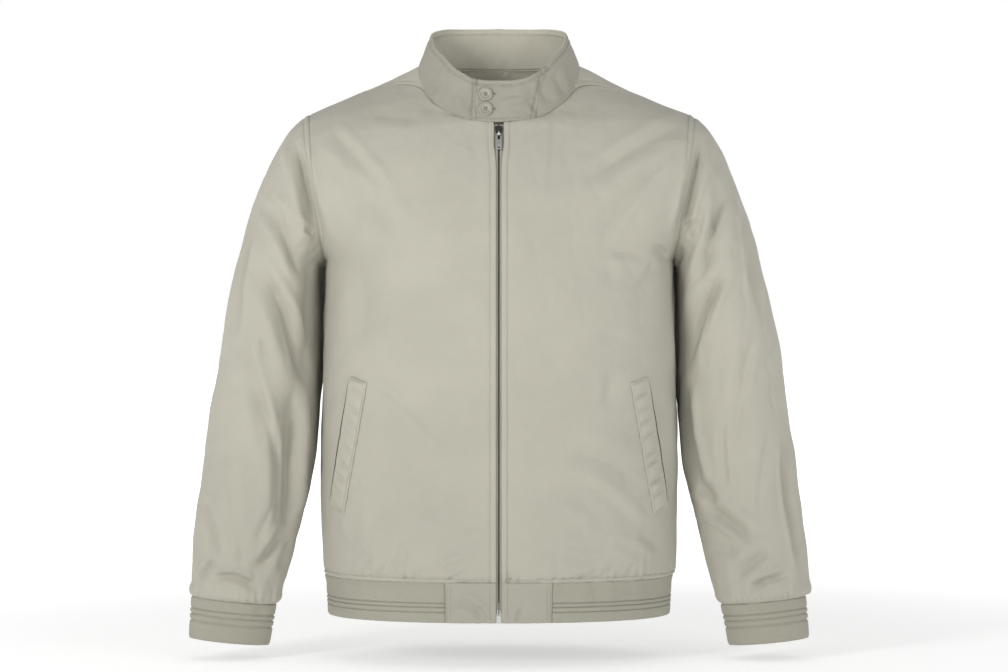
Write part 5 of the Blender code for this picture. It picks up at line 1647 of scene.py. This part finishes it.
def stitchTubes(path, outs, flip=False):
    run = lengthsAlong(path)
    if flip:
        outs = -outs
    pitch, length = stitchSettings["pitch"], stitchSettings["length"]
    tubes = []
    for number in range(int(run[-1] / pitch)):
        start = (number + 0.5) * pitch - length / 2
        places = start + length * np.array((0.0, 0.18, 0.5, 0.82, 1.0))
        rise = stitchSettings["rise"] + stitchSettings["radius"] * np.array((-1.1, 0.1, 0.45, 0.1, -1.1))
        spots = np.stack([np.interp(places, run, path[:, k]) for k in range(3)], axis=1)
        ways = np.stack([np.interp(places, run, outs[:, k]) for k in range(3)], axis=1)
        tubes.append(tubeMesh(spots + ways * rise[:, None], stitchSettings["radius"], 5))
    return tubes


def stitchLines():
    # on each skin: the border that a line follows, its place and the part it takes
    under, neck = importantRows("front")
    backUnder = importantRows("back")[0]
    whole, inside, lines = slice(None), slice(2, -2), {}
    sides = (("left", "firstColumn", "lastColumn", slice(2, None)),
             ("right", "lastColumn", "firstColumn", slice(None, -2)))
    for side, inner, outer, foot in sides:
        lines["front_" + side] = [
            (outer, "armhole", slice(under + 3, None)), (inner, "zip", slice(None, neck - 2)),
            ("firstRow", "waist", foot)]
    for side, *_ in sides:
        lines["back_" + side] = [
            ("lastColumn", "armhole", slice(backUnder + 3, None)), ("firstRow", "waist", whole),
            ("lastRow", "shoulder", slice(2, None))]
    lines["collar_stand"] = [("lastRow", "collarTop", whole)]
    lines["collar_tab"] = [
        ("lastRow", "collarTop", slice(6, -8)), ("firstColumn", "collarEnd", slice(6, -7)),
        ("firstRow", "collarFoot", slice(6, 60)), ("lastColumn", "collarSeam", slice(3, -3))]
    for side, inner, *_ in sides:
        lines["pocket_welt_" + side] = [
            (inner, "weltEdge", slice(3, -3)), ("firstRow", "weltEnd", inside), ("lastRow", "weltEnd", inside)]
    for side, inner, outer, _ in sides:
        lines["waist_tab_" + side] = [
            (inner, "zip", inside), (outer, "tabEdge", inside), (outer, "tabLine", inside)]
    return lines


def buildStitches():
    total = 0
    for name, lines in stitchLines().items():
        tubes = []
        for border, place, span in lines:
            path, outs = insetPath(skins[name], border, stitchPlaces[place], span)
            tubes += stitchTubes(path, outs, flip=name == "back_left")
        piece = joinedTubes("stitches_" + name, tubes)
        finishPiece(piece, "jacket", "cotton", finish="thread")
        total += len(piece.data.polygons)
    print("stitches", total)


buildStitches()

# Floor, light and camera.
stageSettings = {
    "floorZ": -0.700, "floorColour": (0.78, 0.78, 0.78), "eye": (0.006, -3.200, -0.317), "lens": 95.24,
    "horizon": 1.0, "sky": 0.40, "ground": 0.60, "nearGlow": 0.46, "farGlow": 1.0,
    # name, place, target, size, power
    "lights": (
        ("key", (-1.9, -2.3, 0.55), (0, 0, -0.32), 0.8, 33.0),
        ("fill", (1.9, -2.4, -0.05), (0, 0, -0.32), 1.4, 17.0),
        ("top", (0, 0.2, 3.0), (0, 0, -0.3), 3.0, 8.0),
    ),
}


def areaLight(name, place, target, size, power):
    data = bpy.data.lights.new(name, "AREA")
    data.size, data.energy = size, power
    light = placeObject(name, data)
    light.location = place
    light.rotation_euler = (Vector(target) - Vector(place)).to_track_quat("-Z", "Y").to_euler()


def studioWorld():
    # white near the horizon, dimmer above and below
    world = bpy.data.worlds.new("studio")
    bpy.context.scene.world = world
    world.use_nodes = True
    tree = world.node_tree
    place = addNode(tree, "ShaderNodeTexCoord")
    parts = addNode(tree, "ShaderNodeSeparateXYZ")
    half = addNode(tree, "ShaderNodeMapRange", **{"From Min": -1.0, "From Max": 1.0})
    ramp = addNode(tree, "ShaderNodeValToRGB")
    stops = ((0.0, "ground"), (0.40, "ground"), (0.45, "horizon"), (0.58, "horizon"), (0.70, "sky"))
    while len(ramp.color_ramp.elements) < len(stops):
        ramp.color_ramp.elements.new(0.5)
    for element, (position, key) in zip(ramp.color_ramp.elements, stops):
        element.position = position
        element.color = (*[stageSettings[key]] * 3, 1)
    joinNodes(tree, (place, "Generated", parts, 0), (parts, "Z", half, "Value"), (half, "Result", ramp, "Fac"),
              (ramp, "Color", tree.nodes["Background"], "Color"))


def floorFinish():
    # pale, and lit from within like a studio sweep, more so away from the jacket
    material, tree, shader = newMaterial("floor", **{
        "Base Color": (*stageSettings["floorColour"], 1), "Roughness": 0.9, "Emission Color": (1, 1, 1, 1)})
    place = addNode(tree, "ShaderNodeTexCoord")
    far = addNode(tree, "ShaderNodeVectorMath", operation="LENGTH")
    glow = addNode(tree, "ShaderNodeMapRange", interpolation_type="SMOOTHSTEP", **{
        "From Min": 0.5, "From Max": 2.2,
        "To Min": stageSettings["nearGlow"], "To Max": stageSettings["farGlow"]})
    joinNodes(tree, (place, "Object", far, 0), (far, "Value", glow, "Value"),
              (glow, "Result", shader, "Emission Strength"))
    return material


def buildStage():
    corners = [(-30, -30, 0), (30, -30, 0), (30, 30, 0), (-30, 30, 0)]
    floor = meshObject("floor", corners, [(0, 1, 2, 3)], smooth=False)
    floor.location.z = stageSettings["floorZ"]
    floor.data.materials.append(floorFinish())
    studioWorld()
    for light in stageSettings["lights"]:
        areaLight(*light)
    data = bpy.data.cameras.new("camera")
    data.lens, data.sensor_width = stageSettings["lens"], 36
    camera = placeObject("camera", data)
    camera.location = stageSettings["eye"]
    camera.rotation_euler = (math.pi / 2, 0, 0)
    bpy.context.scene.camera = camera
    bpy.context.scene.view_settings.view_transform = "Standard"


buildStage()
